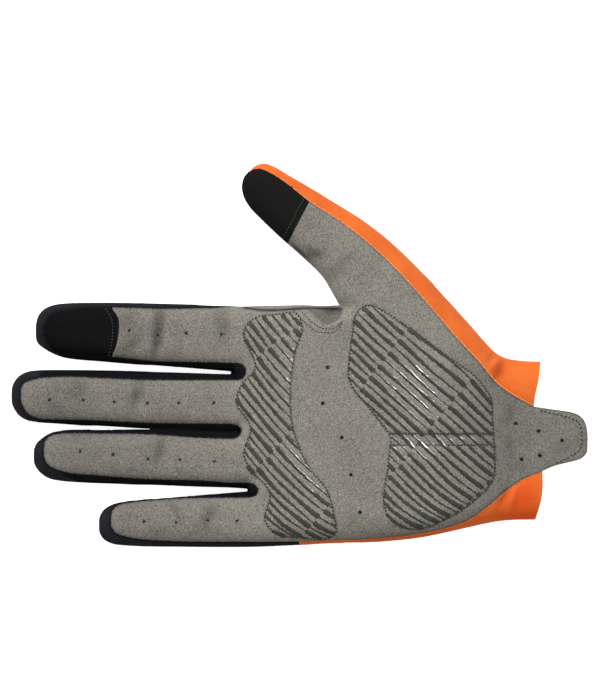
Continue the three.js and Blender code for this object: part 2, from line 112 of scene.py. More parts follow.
def edited(obj, *steps):
    # Each step is an operator and its settings, for the whole mesh. The faces end up
    # pointing outwards.
    only(obj)
    bpy.ops.object.mode_set(mode="EDIT")
    bpy.ops.mesh.select_all(action="SELECT")
    for operator, settings in steps:
        operator(**settings)
    bpy.ops.mesh.select_all(action="SELECT")
    bpy.ops.mesh.normals_make_consistent(inside=False)
    bpy.ops.object.mode_set(mode="OBJECT")
    return obj


def raised(height):
    return bpy.ops.mesh.extrude_region_move, {"TRANSFORM_OT_translate": {"value": (0, 0, height * mm)}}


def meshFrom(name, points, faces):
    mesh = bpy.data.meshes.new(name)
    mesh.from_pydata(points, [], faces)
    obj = bpy.data.objects.new(name, mesh)
    bpy.context.scene.collection.objects.link(obj)
    return edited(obj)


def tubeFaces(start, rings, ring):
    # Faces from each ring of points to the next, and one over each end.
    last = start + ring * (rings - 1)
    faces = []
    for here in range(start, last, ring):
        for n in range(ring):
            a, b = here + n, here + (n + 1) % ring
            faces.append((a, b, b + ring, a + ring))
    return [*faces, tuple(range(start + ring - 1, start - 1, -1)), tuple(range(last, last + ring))]


def places(obj):
    co = np.empty(len(obj.data.vertices) * 3)
    obj.data.vertices.foreach_get("co", co)
    return co.reshape(-1, 3)


def place(obj, co):
    obj.data.vertices.foreach_set("co", np.asarray(co, float).ravel())
    obj.data.update()
    return obj


def planOf(obj):
    return places(obj)[:, :2] / mm


def facing(obj):
    out = np.empty(len(obj.data.vertices) * 3)
    obj.data.vertex_normals.foreach_get("vector", out)
    return out.reshape(-1, 3)


def treeOf(*objs):
    points, faces = [], []
    for obj in objs:
        start = len(points)
        points += [v.co.copy() for v in obj.data.vertices]
        faces += [[start + i for i in face.vertices] for face in obj.data.polygons]
    return BVHTree.FromPolygons(points, faces)


def surfaceAt(tree, x, y):
    # Height and normal of what lies under a point in metres, and height 0 beside it.
    down = Vector((0, 0, -1))
    hit, normal, _, _ = tree.ray_cast(Vector((x, y, 0.06)), down)
    return (0, -down) if hit is None else (hit.z, normal)


# Smooth lines through a few points, and distances from them

def smoothLine(points, step):
    # Centripetal, so that a short stretch beside a long one doesn't swing out.
    p = np.array(points, float)
    ends = np.vstack([2 * p[0] - p[1], p, 2 * p[-1] - p[-2]])
    out = []
    for k in range(len(p) - 1):
        a, b, c, d = ends[k:k + 4]
        before, here, after = [max(np.linalg.norm(v[:2]), 1e-6) ** 0.5 for v in (b - a, c - b, d - c)]
        leave = c - b + here * ((b - a) / before - (c - a) / (before + here))
        arrive = c - b + here * ((d - c) / after - (d - b) / (here + after))
        count = max(1, math.ceil(np.linalg.norm((c - b)[:2]) / step))
        t = (np.arange(count) / count)[:, None]
        out.append(b + leave * t + (3 * (c - b) - 2 * leave - arrive) * t**2
                   + (2 * (b - c) + leave + arrive) * t**3)
    return np.vstack([*out, p[-1:]])


def smoothLoop(points, step):
    p = [tuple(q) for q in points]
    around = smoothLine([*p[-2:], *p, *p[:3]], step)
    start = np.flatnonzero((around == p[0]).all(1))[0]
    end = np.flatnonzero((around == p[0]).all(1))[-1]
    return around[start:end]


def evenly(line, step, closed=False):
    line = np.vstack([line, line[:1]]) if closed else np.asarray(line, float)
    gone = np.concatenate([[0], np.cumsum(np.linalg.norm(np.diff(line, axis=0), axis=1))])
    count = max(2, round(gone[-1] / step))
    at = np.linspace(0, gone[-1], count + 1)[:-1 if closed else None]
    return np.column_stack([np.interp(at, gone, line[:, k]) for k in range(line.shape[1])])


def sideways(line):
    # At each point of a line, the direction square to it on its left.
    ahead = np.gradient(line, axis=0)
    ahead /= np.linalg.norm(ahead, axis=1)[:, None]
    return np.column_stack([-ahead[:, 1], ahead[:, 0]])


def offsetLine(line, distance):
    line = evenly(line, seams["edgeStep"])
    return line + sideways(line) * distance


class Edge:
    # A line on the glove's plan that can say how far points are from it, on which side
    # and how far along. The left side is positive, which is the inside of a loop here.
    def __init__(self, line, closed=False, step=0.3):
        self.step = step
        self.line = evenly(line, step, closed)
        ahead = np.roll(self.line, -1, 0) - np.roll(self.line, 1, 0)
        if not closed:
            ahead[0], ahead[-1] = self.line[1] - self.line[0], self.line[-1] - self.line[-2]
        self.ahead = ahead / np.linalg.norm(ahead, axis=1)[:, None]
        self.tree = KDTree(len(self.line))
        for k, (x, y) in enumerate(self.line):
            self.tree.insert((x, y, 0), k)
        self.tree.balance()

    def near(self, points):
        found = np.array([self.tree.find((x, y, 0))[1:] for x, y in points])
        k = found[:, 0].astype(int)
        off = points - self.line[k]
        left = self.ahead[k, 0] * off[:, 1] - self.ahead[k, 1] * off[:, 0]
        return np.where(left < 0, -found[:, 1], found[:, 1]), k * self.step


def leftHanded(loop):
    x, y = loop[:, 0], loop[:, 1]
    return loop if np.sum(x * np.roll(y, -1) - y * np.roll(x, -1)) > 0 else loop[::-1]


def prism(outline, low, high):
    # A cutter with the outline's plan. All cutters are cleared away near the end.
    outline = leftHanded(np.asarray(outline, float))
    bpy.ops.object.select_all(action="DESELECT")
    bpy.ops.mesh.primitive_circle_add(vertices=len(outline), fill_type="NGON")
    obj = bpy.context.active_object
    obj.name = "cutter"
    place(obj, np.column_stack([outline, np.full(len(outline), low)]) * mm)
    return edited(obj, raised(high - low))


# The glove's body: sleeves for the fingers, thumb and hand, run together into one skin

body = {
    "wall": 1.3,
    "voxel": 0.62,        # of the outer skin
    "innerVoxel": 1.1,
    "sideLevel": 0.38,    # height of a sleeve's widest point, as a share of its height
    "fingerRound": 8.0,   # width of a finger's rounded side
    "handRound": 11.0,
    "roundShare": 0.46,
    "fingerDome": 0.5,    # how much the top bulges in its middle
    "handDome": 0.9,
    "tipLength": 9.0,     # a fingertip closes over this length
    "tipShare": 0.42,     # and is this share of its height at the very end
    "rowStep": 1.6,
    "sidePoints": 9, "flatPoints": 7,
    "swell": 0.34,        # the smoothing takes off about this much again
    "merge": 0.01,
    "outerSmooth": 6, "innerSmooth": 3,
}

# x, upper side, lower side, height
fingers = {
    "index": [
        (-105.7, 12.0, 6.8, 7.6), (-104.8, 15.3, 4.8, 8.4), (-102.4, 18.1, 2.8, 9.2),
        (-99.0, 19.65, 0.75, 10), (-94.2, 20.4, -0.9, 10.6), (-76.6, 20.8, -2.65, 11),
        (-57.4, 20.45, -4.3, 11.4), (-47.8, 20.2, -5.05, 11.7), (-38.2, 19.87, -5.75, 12),
        (-30.0, 19.55, -6.35, 12.4), (-22.0, 19.2, -6.9, 12.8),
        (-4.0, 19.1, -8.0, 13.2),
    ],
    "middle": [
        (-115.4, -13.6, -19.0, 7.6), (-114.6, -11.4, -21.0, 8.4), (-112.7, -8.9, -23.8, 9.2),
        (-109.6, -7.1, -25.8, 10), (-105.4, -6.4, -26.75, 10.6), (-95.8, -6.2, -27.45, 11),
        (-76.6, -6.45, -28.7, 11.2), (-57.4, -6.95, -29.9, 11.6), (-38.2, -7.35, -30.5, 12),
        (-22.0, -7.7, -30.8, 12.8), (-4.0, -7.8, -31.0, 13.2),
    ],
    "ring": [
        (-106.5, -38.0, -43.0, 7.4), (-105.6, -35.9, -44.9, 8.2), (-103.7, -33.8, -47.1, 9),
        (-100.6, -31.7, -49.1, 9.8), (-95.8, -30.5, -50.15, 10.4), (-86.2, -30.05, -50.9, 10.8),
        (-71.8, -29.95, -51.45, 11), (-57.4, -29.6, -52.15, 11.4), (-38.2, -30.2, -52.95, 12),
        (-19.0, -30.6, -53.4, 12.8), (-4.0, -30.8, -53.8, 13.2),
    ],
    "little": [
        (-80.4, -65.6, -70.6, 7), (-79.4, -63.4, -72.6, 7.8), (-77.6, -61.5, -74.3, 8.6),
        (-74.6, -59.9, -75.5, 9.4), (-70.2, -58.9, -76.05, 10), (-62.2, -58.0, -76.45, 10.4),
        (-47.8, -56.85, -76.65, 10.8), (-33.4, -55.6, -76.75, 11.6), (-16.0, -54.3, -76.6, 12.6),
        (-2.0, -53.8, -76.0, 13),
    ],
}
# outer side x, y, inner side x, y, height
thumb = [
    (-19.4, 74.7, -22.1, 71.6, 7.4), (-17.4, 76.0, -23.0, 68.4, 8.4), (-14.2, 76.6, -22.4, 64.0, 9.6),
    (-10.2, 75.2, -19.8, 59.4, 10.6), (-4.6, 71.9, -15.2, 54.6, 11.2), (5.0, 66.3, -7.4, 47.2, 11.8),
    (14.6, 60.4, 1.2, 39.6, 12.6), (24.2, 54.4, 9.5, 31.35, 13.6), (33.8, 47.2, 14.8, 22.0, 14.8),
    (43.4, 38.4, 20.0, 13.2, 15.6), (53.0, 28.4, 27.0, 4.0, 15.8), (62.6, 18.0, 38.0, -4.0, 15.4),
]
# thumb side x, y, little finger's side x, y, height; it runs on under the pull tab
hand = [
    (-29.0, 19.0, -17.4, -76.5, 10.6), (-16.0, 19.4, -8.6, -76.3, 13.6), (0.2, 19.75, 2.6, -75.85, 15.4),
    (15.4, 20.2, 15.4, -75.2, 15.8), (24.2, 28.0, 26.6, -74.9, 16), (36.2, 37.2, 37.0, -74.25, 16),
    (48.2, 33.2, 48.2, -72.95, 15.8), (57.8, 23.2, 57.8, -71.05, 15.4), (67.4, 12.8, 67.4, -68.8, 14.8),
    (74.6, 4.6, 74.6, -67.2, 14), (78.6, 0.6, 79.4, -66.3, 13.4), (82.6, -1.5, 83.4, -65.9, 12.8),
    (88.2, -2.5, 88.2, -65.7, 12.4), (97.0, -3.0, 97.0, -65.7, 12), (103.0, -3.3, 103.0, -65.7, 11.5),
    (110.0, -3.3, 110.0, -65.7, 10.5), (119.0, -3.3, 119.0, -65.7, 8.8),
]


def sleeve(rows, roundSide, dome, shrink=0.0, closing=True):
    rows = smoothLine(rows, body["rowStep"])
    middle = (rows[:, 0:2] + rows[:, 2:4]) / 2
    gone = np.concatenate([[0], np.cumsum(np.linalg.norm(np.diff(middle, axis=0), axis=1))])
    rows, gone = rows[gone >= 1.5 * shrink], gone[gone >= 1.5 * shrink]
    quarter = np.linspace(0, math.pi / 2, body["sidePoints"])
    flats = body["flatPoints"]
    loops = []
    for (ax, ay, bx, by, height), far in zip(rows, gone):
        whole = math.hypot(bx - ax, by - ay)
        along = np.array([bx - ax, by - ay]) / whole
        width = whole - 2 * shrink
        side = min(roundSide - shrink, width * body["roundShare"])
        level = body["sideLevel"] * height
        full = 1.0
        if closing:
            full = math.sqrt(1 - (1 - min(far / body["tipLength"], 1)) ** 2)
            full = body["tipShare"] + (1 - body["tipShare"]) * full
        arc = side * (1 - np.cos(quarter))
        flat = np.linspace(side, width - side, flats + 2)[1:-1]
        across = np.concatenate([arc, flat, width - arc[::-1]])
        lift = np.concatenate([np.sin(quarter), np.ones(flats), np.sin(quarter)[::-1]])
        bulge = dome * np.sin(math.pi * across / width) * lift
        high = level + (height - shrink - level) * lift * full + bulge * full
        low = level - (level - shrink) * lift * full
        across = np.concatenate([across, across[-2:0:-1], across[:1]]) + shrink
        levels = np.concatenate([high, low[-2:0:-1], high[:1]])
        loops.append(np.column_stack([ax + along[0] * across, ay + along[1] * across, levels]))
    bpy.ops.object.select_all(action="DESELECT")
    bpy.ops.mesh.primitive_grid_add(x_subdivisions=len(loops[0]) - 1, y_subdivisions=len(loops) - 1)
    obj = place(bpy.context.active_object, np.vstack(loops) * mm)
    return edited(obj, (bpy.ops.mesh.remove_doubles, {"threshold": body["merge"] * mm}),
                  (bpy.ops.mesh.fill_holes, {"sides": 0}))


def bag(name, shrink, voxel, smoothing):
    parts = [
        sleeve([(x, upper, x, lower, height) for x, upper, lower, height in rows],
               body["fingerRound"], body["fingerDome"], shrink)
        for rows in fingers.values()
    ]
    parts.append(sleeve(thumb, body["fingerRound"], body["fingerDome"], shrink))
    parts.append(sleeve(hand, body["handRound"], body["handDome"], shrink, closing=False))
    obj = joined(name, parts)
    obj.data.remesh_voxel_size = voxel * mm
    only(obj)
    bpy.ops.object.voxel_remesh()
    return modified(obj, "SMOOTH", factor=0.5, iterations=smoothing)


# Seams and outlines of the panels

# x, upper edge, lower edge of the palm fabric on each finger, from tip to root
fingerFronts = {
    "index": [
        (-102.0, 11.2, 8.0), (-100.6, 14.4, 4.4), (-98.2, 16.7, 1.8), (-91.0, 18.2, 0.6),
        (-75.0, 19.1, -0.7), (-66.0, 18.85, -1.7), (-57.4, 18.55, -2.5), (-47.8, 18.5, -2.65),
        (-38.2, 18.75, -2.8), (-33.0, 18.9, -2.95), (-29.5, 19.3, -3.0), (-26.0, 19.7, -3.1),
    ],
    "middle": [
        (-111.4, -13.6, -17.8), (-110.6, -11.8, -20.4), (-108.6, -10.6, -23.4),
        (-104.6, -9.4, -25.4), (-94.2, -8.7, -25.8), (-79.8, -9.2, -26.2), (-60.2, -10.0, -27.1),
        (-28.0, -10.0, -27.5),
    ],
    "ring": [
        (-102.2, -36.4, -40.4), (-101.6, -34.2, -42.2), (-99.6, -32.3, -44.4),
        (-93.4, -31.3, -46.8), (-79.8, -31.4, -48.2), (-60.2, -31.7, -49.6),
        (-40.2, -33.1, -50.1), (-28.0, -33.5, -51.0),
    ],
    "little": [
        (-75.4, -64.8, -68.0), (-74.6, -61.8, -69.8), (-72.4, -60.1, -71.6), (-66.6, -58.8, -73.2),
        (-60.2, -58.2, -73.9), (-43.8, -57.3, -74.6), (-22.0, -57.0, -74.6),
    ],
}
thumbSeam = [
    (-20.2, 73.8), (-16, 74.6), (-7, 69.9), (3.4, 61.6), (14.6, 54.4), (24.2, 47.2), (33.8, 38.8),
    (48.2, 23.6), (62.6, 6.8), (72.2, -3.6), (78.6, -11.2), (85.8, -16.4), (93.6, -20.6),
]
littleSeam = [
    (96.9, -46.4), (89, -49.6), (81.8, -54.6), (73.8, -61.4), (66.6, -66.1), (56.2, -69.5),
    (41.8, -72.1), (24.2, -73.6), (0.2, -74.5), (-16, -74.7),
]
tabEdge = [
    (93.6, -20.6), (101, -21.7), (108.9, -22.9), (111.8, -24.1), (113.5, -25.8), (114.6, -28.2),
    (115.1, -31.2), (115.1, -35.6), (114.8, -38.9), (113.2, -40.9), (111, -42), (105.9, -43.2),
    (101.2, -44.45), (96.9, -46.3),
]
cuffEnd = [
    (97.2, 4), (96.4, -3.1), (95.4, -10), (93.6, -20.6), (96.9, -46.4), (96.8, -56), (95.6, -61.5),
    (94.4, -65.8), (93.6, -70),
]
gussetEdge = [(-22, 18.3), (-9.8, 18.1), (3, 18.2), (5.8, 15.6), (8.6, 13.4), (11.4, 12.4), (14.2, 13.2),
              (17.4, 16)]
# x, y of the end of the gap between two fingers, and y where its sides start
crotches = [(-21.3, -6.4, -3.1, -10), (-23.3, -30.6, -27.5, -33.5), (-16.4, -54.0, -51, -57)]
# the narrow ends of the open gaps between fingers and thumb: each one's upper and lower side
slots = [
    ([(-88, -28.35), (-80, -28.42), (-71.6, -28.9), (-65.2, -29.32), (-60.2, -29.62)],
     [(-88, -29.7), (-80, -30.0), (-71.6, -29.93), (-65.2, -29.84), (-60.2, -29.78)]),
    ([(-66, -4.1), (-59, -4.12), (-52, -4.65), (-44, -5.25), (-36, -5.88), (-28, -6.5)],
     [(-66, -6.2), (-59, -6.72), (-52, -6.93), (-44, -7.18), (-36, -7.45), (-28, -7.68)]),
    ([(-66, -52.0), (-58, -52.1), (-46.8, -52.52), (-37.2, -52.88), (-27.6, -53.18), (-21.4, -53.58)],
     [(-66, -57.7), (-58, -57.6), (-46.8, -56.7), (-37.2, -55.95), (-27.6, -55.18), (-21.4, -54.66)]),
    ([(9.0, 31.7), (11.2, 28.25), (12.6, 25.85), (14.0, 23.4), (15.05, 21.4), (15.6, 20.25)],
     [(9.0, 19.78), (12, 19.84), (15.6, 19.94)]),
]
knuckleLine = [(-14, 30), (-12, 5), (-7, -30), (-2, -60), (1.4, -90)]
fingerGaps = [
    [(-130, -2.6), (-95, -3.8), (-23, -7.0), (10, -8.2)],
    [(-130, -28.6), (-95, -28.7), (-60, -29.7), (-23, -30.6), (10, -31.2)],
    [(-130, -55), (-80, -54.8), (-20, -53.9), (10, -53.6)],
]
thumbInner = [
    (-20.2, 73.8), (-19.2, 70.8), (-19.1, 67.6), (-18.4, 64.4), (-16.6, 61.2), (-12.4, 57.2), (-4.6, 50.4),
    (3.6, 43.0), (11.4, 34.6), (16.6, 26.6), (17.3, 24),
]
indexPatchEnd = [(-75, 24), (-75, 19.1), (-72.4, 14.8), (-72.2, 9.6), (-73.2, 3.6), (-75, -0.7), (-76, -6)]
thumbPatchEnd = [(7, 66.5), (4, 61.2), (-4.5, 45), (-7, 40)]
padEdges = {
    "knuckle": [
        (-22.4, 9), (-18.6, 14.6), (-7.8, 16.6), (-1.6, 17), (1.4, 11.6), (-1.6, 1), (-3.4, -14),
        (-2.4, -29), (3.8, -44.4), (11, -53.6), (14, -64), (14.6, -71), (12, -73.2), (2.2, -73.4),
        (-9, -71.4), (-14, -66), (-12, -55), (-20, -45.6), (-22.4, -39), (-19.6, -29), (-25.4, -19),
        (-23, -11.4), (-17.8, -5.2),
    ],
    "thumb": [
        (28.6, 20), (34.6, 17.1), (40.8, 12.9), (46, 9.3), (53.1, 4.2), (59.2, -0.4), (64.4, -4),
        (69.5, -7.7), (74.5, -13.7), (76.8, -18), (77.1, -25), (77.5, -31), (77.2, -31.5),
        (36.1, -31.5), (35.4, -31.2), (33.7, -29), (30.6, -25), (25.6, -18.8), (21.5, -13.9),
        (19.4, -8.7), (19.6, -2.6), (20.2, 3.6), (21, 9.2), (22.2, 15.8), (25, 19.3),
    ],
    "heel": [
        (36.1, -35.9), (35.5, -39.8), (35, -45.4), (34, -51), (33.4, -55.6), (33.7, -60.7),
        (35.8, -65.3), (39.8, -68.4), (45.4, -69.7), (51.6, -68.7), (58.2, -65.6), (64.3, -62.2),
        (71, -57.1), (75.6, -52.5), (77.9, -47.9), (78.1, -41.8), (77.9, -36), (77.6, -35.6),
        (36.5, -35.6),
    ],
}
vents = [
    (-68, 9.8), (-56.6, 7.8), (-45.3, 8.6), (-31.2, 8.3),
    (-99.9, -18), (-86.4, -18), (-74, -18.8), (-60.8, -19.3), (-48.2, -19.1), (-34.2, -19),
    (-87.6, -38.5), (-74.5, -39.8), (-60.4, -41.5), (-47.7, -41.8), (-33.9, -42.5),
    (-62.1, -66.5), (-49.2, -66.9), (-36.6, -66), (-25, -66.2),
    (11.4, -4.8), (9.2, -19.2), (16.9, -32.9), (20.4, -47.9), (24, -62.7),
    (86.4, -27.4), (88.6, -41.7), (95.4, -30.4), (95.9, -40.1), (104.9, -34.1),
]
seams = {
    "palmLevel": 6.2,     # the palm fabric wraps a side down to here
    "thumbLevel": 1.6,    # and the thumb's inner side down to here
    "gussetLevel": 2.0,
    "crotchDepth": 3.4,
    "fray": 0.26,         # how ragged the cut suede is on the fingers
    "fraySize": 0.45,
    "frayStep": 0.3,
    "edgeStep": 0.8,
    "beyond": 130.0,      # past the glove on every side
    "bottom": -5.0, "top": 40.0,      # of the cutters
}


def frayed(line):
    line = evenly(line, seams["frayStep"])
    size = seams["fraySize"]
    wave = np.array([noise.noise((x / size, y / size, 3.7)) for x, y in line]) * seams["fray"]
    wave[0] = wave[-1] = 0
    return line + sideways(line) * wave[:, None]


def fingerEdges(name):
    rows = fingerFronts[name]
    upper = smoothLine([(x, up) for x, up, _ in rows], seams["edgeStep"])
    lower = smoothLine([(x, low) for x, _, low in rows], seams["edgeStep"])
    return upper, lower


def palmOutline():
    # From the thumb's tip along the thumb seam, round the pull tab, up the little finger's
    # side, round each finger in turn and back past the inner side of the thumb.
    step = seams["edgeStep"]
    tip = smoothLine(thumbSeam[:4], step)
    parts = [frayed(tip), smoothLine(thumbSeam, step)[len(tip):]]
    parts += [smoothLine(line, step)[1:] for line in (tabEdge, littleSeam)]
    for name, crotch in zip(("little", "ring", "middle", "index"), (*crotches[::-1], None)):
        upper, lower = fingerEdges(name)
        parts += [frayed(lower[::-1]), frayed(upper)]
        if crotch:
            x, y, top, bottom = crotch
            deep = seams["crotchDepth"]
            end = [(x - deep, bottom), (x - deep / 3, bottom + deep / 4), (x, y),
                   (x - deep / 3, top - deep / 4), (x - deep, top)]
            parts.append(frayed(smoothLine(end, step)))
    parts.append(np.array([(-24, 24.5), (12, 24.5), (-32, 62), (-30, 75)]))
    return np.vstack(parts)


def region(line, *corners):
    return np.vstack([smoothLine(line, seams["edgeStep"]), np.array(corners, float)])


def padOutline(name):
    return leftHanded(smoothLoop(padEdges[name], seams["edgeStep"]))


far = seams["beyond"]
outlines = {
    "palm": palmOutline(),
    "gusset": region(gussetEdge, (17.4, 24), (-22, 24)),
    "thumbInner": region(thumbInner, (12, 24), (-32, 62), (-30, 76)),
    "indexPatch": region(indexPatchEnd, (-far, -6), (-far, 24)),
    "thumbPatch": region(thumbPatchEnd, (-40, 40), (-40, 90), (7, 90)),
    "fingerSide": region(knuckleLine, (-far, -90), (-far, 30)),
    "cuff": region(cuffEnd, (far, -80), (far, 10)),
    "tab": region(tabEdge, (90, -46.4), (90, -20.6)),
}
print("outlines drawn")


# Soft relief of the fabric

# The last column is painted shade on each fold's side towards the light; below zero it is a painted
# highlight.
dents = [  # x, y, turn, half length, half width, depth, darkness
    (-55.4, 11, 84, 9, 2.4, 1.2, 0.42), (-56.6, 3, 84, 4.5, 2, 0.6, 0.26), (-67.8, 12.8, 90, 5, 4, 0.3, 0.1),
    (-66.2, 3.6, 40, 4, 2.2, 0.5, 0.24), (-65, 9, 90, 9, 6, 0, 0.08), (-29.4, 11, 95, 7, 3, 0.8, 0.26),
    (-53, 6.5, 82, 8, 0.9, 0, -0.12), (-84, 9.5, 88, 8, 3.2, 0.3, 0), (-43, 9, 85, 7, 2.6, -0.3, -0.04),
    (-91, -18, 0, 9, 7, 0.3, 0.1), (-97.4, -21.2, 0, 3.5, 2.5, 0, 0.15), (-87.4, -14, 90, 4, 3, 0, 0.15),
    (-64.2, -17, 68, 5.5, 2.6, 0.9, 0.32), (-36, -14, 90, 6, 3, 0, 0.1), (-40, -19, 85, 8, 3.6, 0.4, 0),
    (-88.2, -33.2, 0, 7, 3.5, 0.3, 0.14), (-55.2, -38.6, 80, 6, 2.3, 0.9, 0.3),
    (-51.4, -48, 0, 3, 1.5, 0, -0.1),
    (-80, -42, 88, 8, 3, 0.4, 0), (-36, -42, 92, 8, 3.6, 0.4, 0), (-42, -42, 0, 14, 7, 0, -0.06),
    (-49, -62.4, -60, 4, 1.4, 0.7, 0.24), (-35.4, -65, 63, 5.5, 2.6, 0.85, 0.32),
    (-55.8, -71.2, 0, 5, 2, 0, 0.12), (-34.6, -70.4, 0, 6, 2, 0, 0.12), (-64, -66, 90, 6, 3, 0.3, 0),
    (-0.4, 41.9, -43, 5.5, 0.8, 0, 0.7), (14.2, 18, 20, 4, 2, 0, 0.4), (6.6, 39.4, -5, 4.4, 2.5, 0.9, 0.4),
    (16.6, 33, 45, 6, 3.2, 0.8, 0.2), (6.6, 52.4, 0, 5, 4, 0, 0.07), (37, 28.4, -45, 8, 4, 0, 0.07),
    (20.2, 20.4, 0, 4, 1.8, 0, 0.14), (-8, 57, 60, 6, 3, 0.4, 0), (24, -66, 0, 6, 3.5, 0, 0.1),
    (84.6, -24.8, 75, 5, 2.5, 0.5, 0.16), (85, -36.4, 90, 5, 2.2, 0.4, 0.16),
    (88.2, -44.8, 30, 3, 2, 0, 0.15),
    (105, -38.8, 20, 6, 3, 0.4, 0.14), (99, -33, 95, 9, 4, -0.3, 0), (2, 50, -43, 36, 15, 0, 0.1),
    (80.2, -7.2, 63, 4.2, 2.4, 0.8, 0.5), (78.2, -3, 50, 3, 1.2, -0.4, -0.15),
    (76.4, -1, 50, 3, 1.5, 0, 0.18), (85.4, -56.6, 75, 6, 1.3, -0.5, -0.08),
    (81.5, -57.7, 60, 4, 1.4, 0.8, 0.32), (-44, -19, 0, 15, 8, 0, -0.07),
    (40, -76, 8, 40, 4, 0, 0.3), (12, -8, 90, 14, 12, 0, -0.03), (25, -50, 95, 26, 9, 0, 0.05),
    (12, -30, 95, 40, 7, 0.6, 0), (30, 30, 55, 16, 5, 0.7, 0), (17, 2, 80, 14, 4, 0.5, 0),
    (64, -25, 100, 30, 10, -0.4, 0), (-12, -20, 92, 40, 6, 0.3, 0),
]
relief = {
    "broad": 0.35, "broadSize": 17.0, "broadSeed": 2.3,
    "fine": 0.10, "fineSize": 4.5, "fineSeed": 7.1,
    "shadeShift": (-0.35, 0.3),              # of a fold's dark side, as shares of its width
    "edgeDrop": 0.25, "edgeWidth": 0.8,      # the palm fabric rolls down into its seams
    "seamStep": 0.55, "seamWidth": 1.6,      # the knit lies lower beside it
    "pucker": 0.10, "puckerStep": 2.6, "puckerWidth": 3.0,
    "padGroove": 0.14, "padGrooveWidth": 0.8,
    "ventDimple": 0.16, "ventWidth": 1.1,
    "foldDepth": 1.3, "foldWidth": 0.85,     # the groove under the web's folded edge
    "moonDepth": 0.9, "moonEdge": 0.9,       # the half-round gusset lies this much lower
    "deepest": 0.85,                         # the palm fabric is never pressed thinner than the rest
    "flatBelow": 2.0,                        # the side that lies on the table stays flat
}
webBox = (-26, 22, 8, 23)      # left, right, low and high end in plan
webFold = [(-22.2, 19.0), (-21.2, 18.84), (-15.5, 18.0), (-8.2, 18.0), (-2.4, 18.4), (2.2, 18.7),
           (10.2, 18.6), (16.5, 18.3)]
halfMoon = [(3.1, 18.4), (6.8, 14.9), (9.2, 13.0), (11.1, 12.2), (14.0, 13.2), (16.6, 15.8), (16.8, 18.2)]


def waves(co, size, seed):
    return np.array([noise.noise((x / size, y / size, z / size + seed)) for x, y, z in co / mm])


def inBox(plan, box):
    left, right, low, high = box
    x, y = plan[:, 0], plan[:, 1]
    return (x > left) & (x < right) & (y > low) & (y < high)


def ovalField(plan, x, y, turn, long, wide):
    c, s = math.cos(math.radians(turn)), math.sin(math.radians(turn))
    u = ((plan[:, 0] - x) * c + (plan[:, 1] - y) * s) / long
    v = (-(plan[:, 0] - x) * s + (plan[:, 1] - y) * c) / wide
    return np.exp(-u**2 - v**2)


def ovals(plan, rows):
    return sum(share * ovalField(plan, *where) for *where, share in rows if share)


def dentShade(plan):
    # Painted shade of the folds, and below zero painted highlights. A fold's dark side is the one towards
    # the light.
    right, up = relief["shadeShift"]
    return sum(dark * ovalField(plan, x + right * wide, y + up * wide, turn, long, wide)
               for x, y, turn, long, wide, _, dark in dents if dark)


def hump(distance, width):
    return np.exp(-((distance / width) ** 2))


def ripple(along, step, height):
    return height * np.sin(2 * math.pi * along / step)


def baseRelief(co, out):
    # What the outside and the inside of the fabric share.
    plan = co[:, :2] / mm
    upper = np.clip(out[:, 2], 0, 1)
    push = relief["broad"] * waves(co, relief["broadSize"], relief["broadSeed"])
    push += relief["fine"] * waves(co, relief["fineSize"], relief["fineSeed"])
    push *= np.abs(out[:, 2])
    push -= ovals(plan, [dent[:6] for dent in dents]) * upper
    web = np.flatnonzero(inBox(plan, webBox))
    fold = hump(edges["fold"].near(plan[web])[0], relief["foldWidth"])
    push[web] -= relief["foldDepth"] * fold * upper[web]
    low = np.clip(edges["moon"].near(plan[web])[0] / relief["moonEdge"] + 0.5, 0, 1)
    push[web] -= relief["moonDepth"] * low * upper[web]
    push[co[:, 2] < relief["flatBelow"] * mm] = 0
    return push


def settle(obj, pushes):
    # Moves each point along its normal by what the relief function says, in mm.
    co, out = places(obj), facing(obj)
    co += out * (pushes(co, out) * mm)[:, None]
    co[:, 2] = np.maximum(co[:, 2], 0)
    return place(obj, co)


edges = {
    "palm": Edge(leftHanded(outlines["palm"]), closed=True),
    **{name: Edge(padOutline(name), closed=True) for name in padEdges},
    "fold": Edge(smoothLine(webFold, 0.5)),
    "moon": Edge(leftHanded(smoothLine([*halfMoon, halfMoon[0]], 0.5)), closed=True),
}


def frontRelief(co, out):
    plan = co[:, :2] / mm
    push = np.zeros(len(co))
    upper = np.flatnonzero(out[:, 2] > 0.1)
    at = plan[upper]
    inside, along = edges["palm"].near(at)
    drop = -relief["edgeDrop"] * hump(inside, relief["edgeWidth"])
    drop += ripple(along, relief["puckerStep"], relief["pucker"]) * hump(inside, relief["puckerWidth"])
    for pad in padEdges:
        drop -= relief["padGroove"] * hump(edges[pad].near(at)[0], relief["padGrooveWidth"])
    for x, y in vents:
        drop -= relief["ventDimple"] * hump(np.hypot(at[:, 0] - x, at[:, 1] - y), relief["ventWidth"])
    push[upper] = np.maximum(drop, -relief["deepest"])
    return push


def backRelief(co, out):
    push = np.zeros(len(co))
    upper = np.flatnonzero(out[:, 2] > -0.2)
    inside, along = edges["palm"].near(co[upper, :2] / mm)
    lower = hump(np.minimum(inside, 0), relief["seamWidth"])
    push[upper] = -relief["seamStep"] * lower
    push[upper] += ripple(along, relief["puckerStep"], relief["pucker"]) * lower
    return push


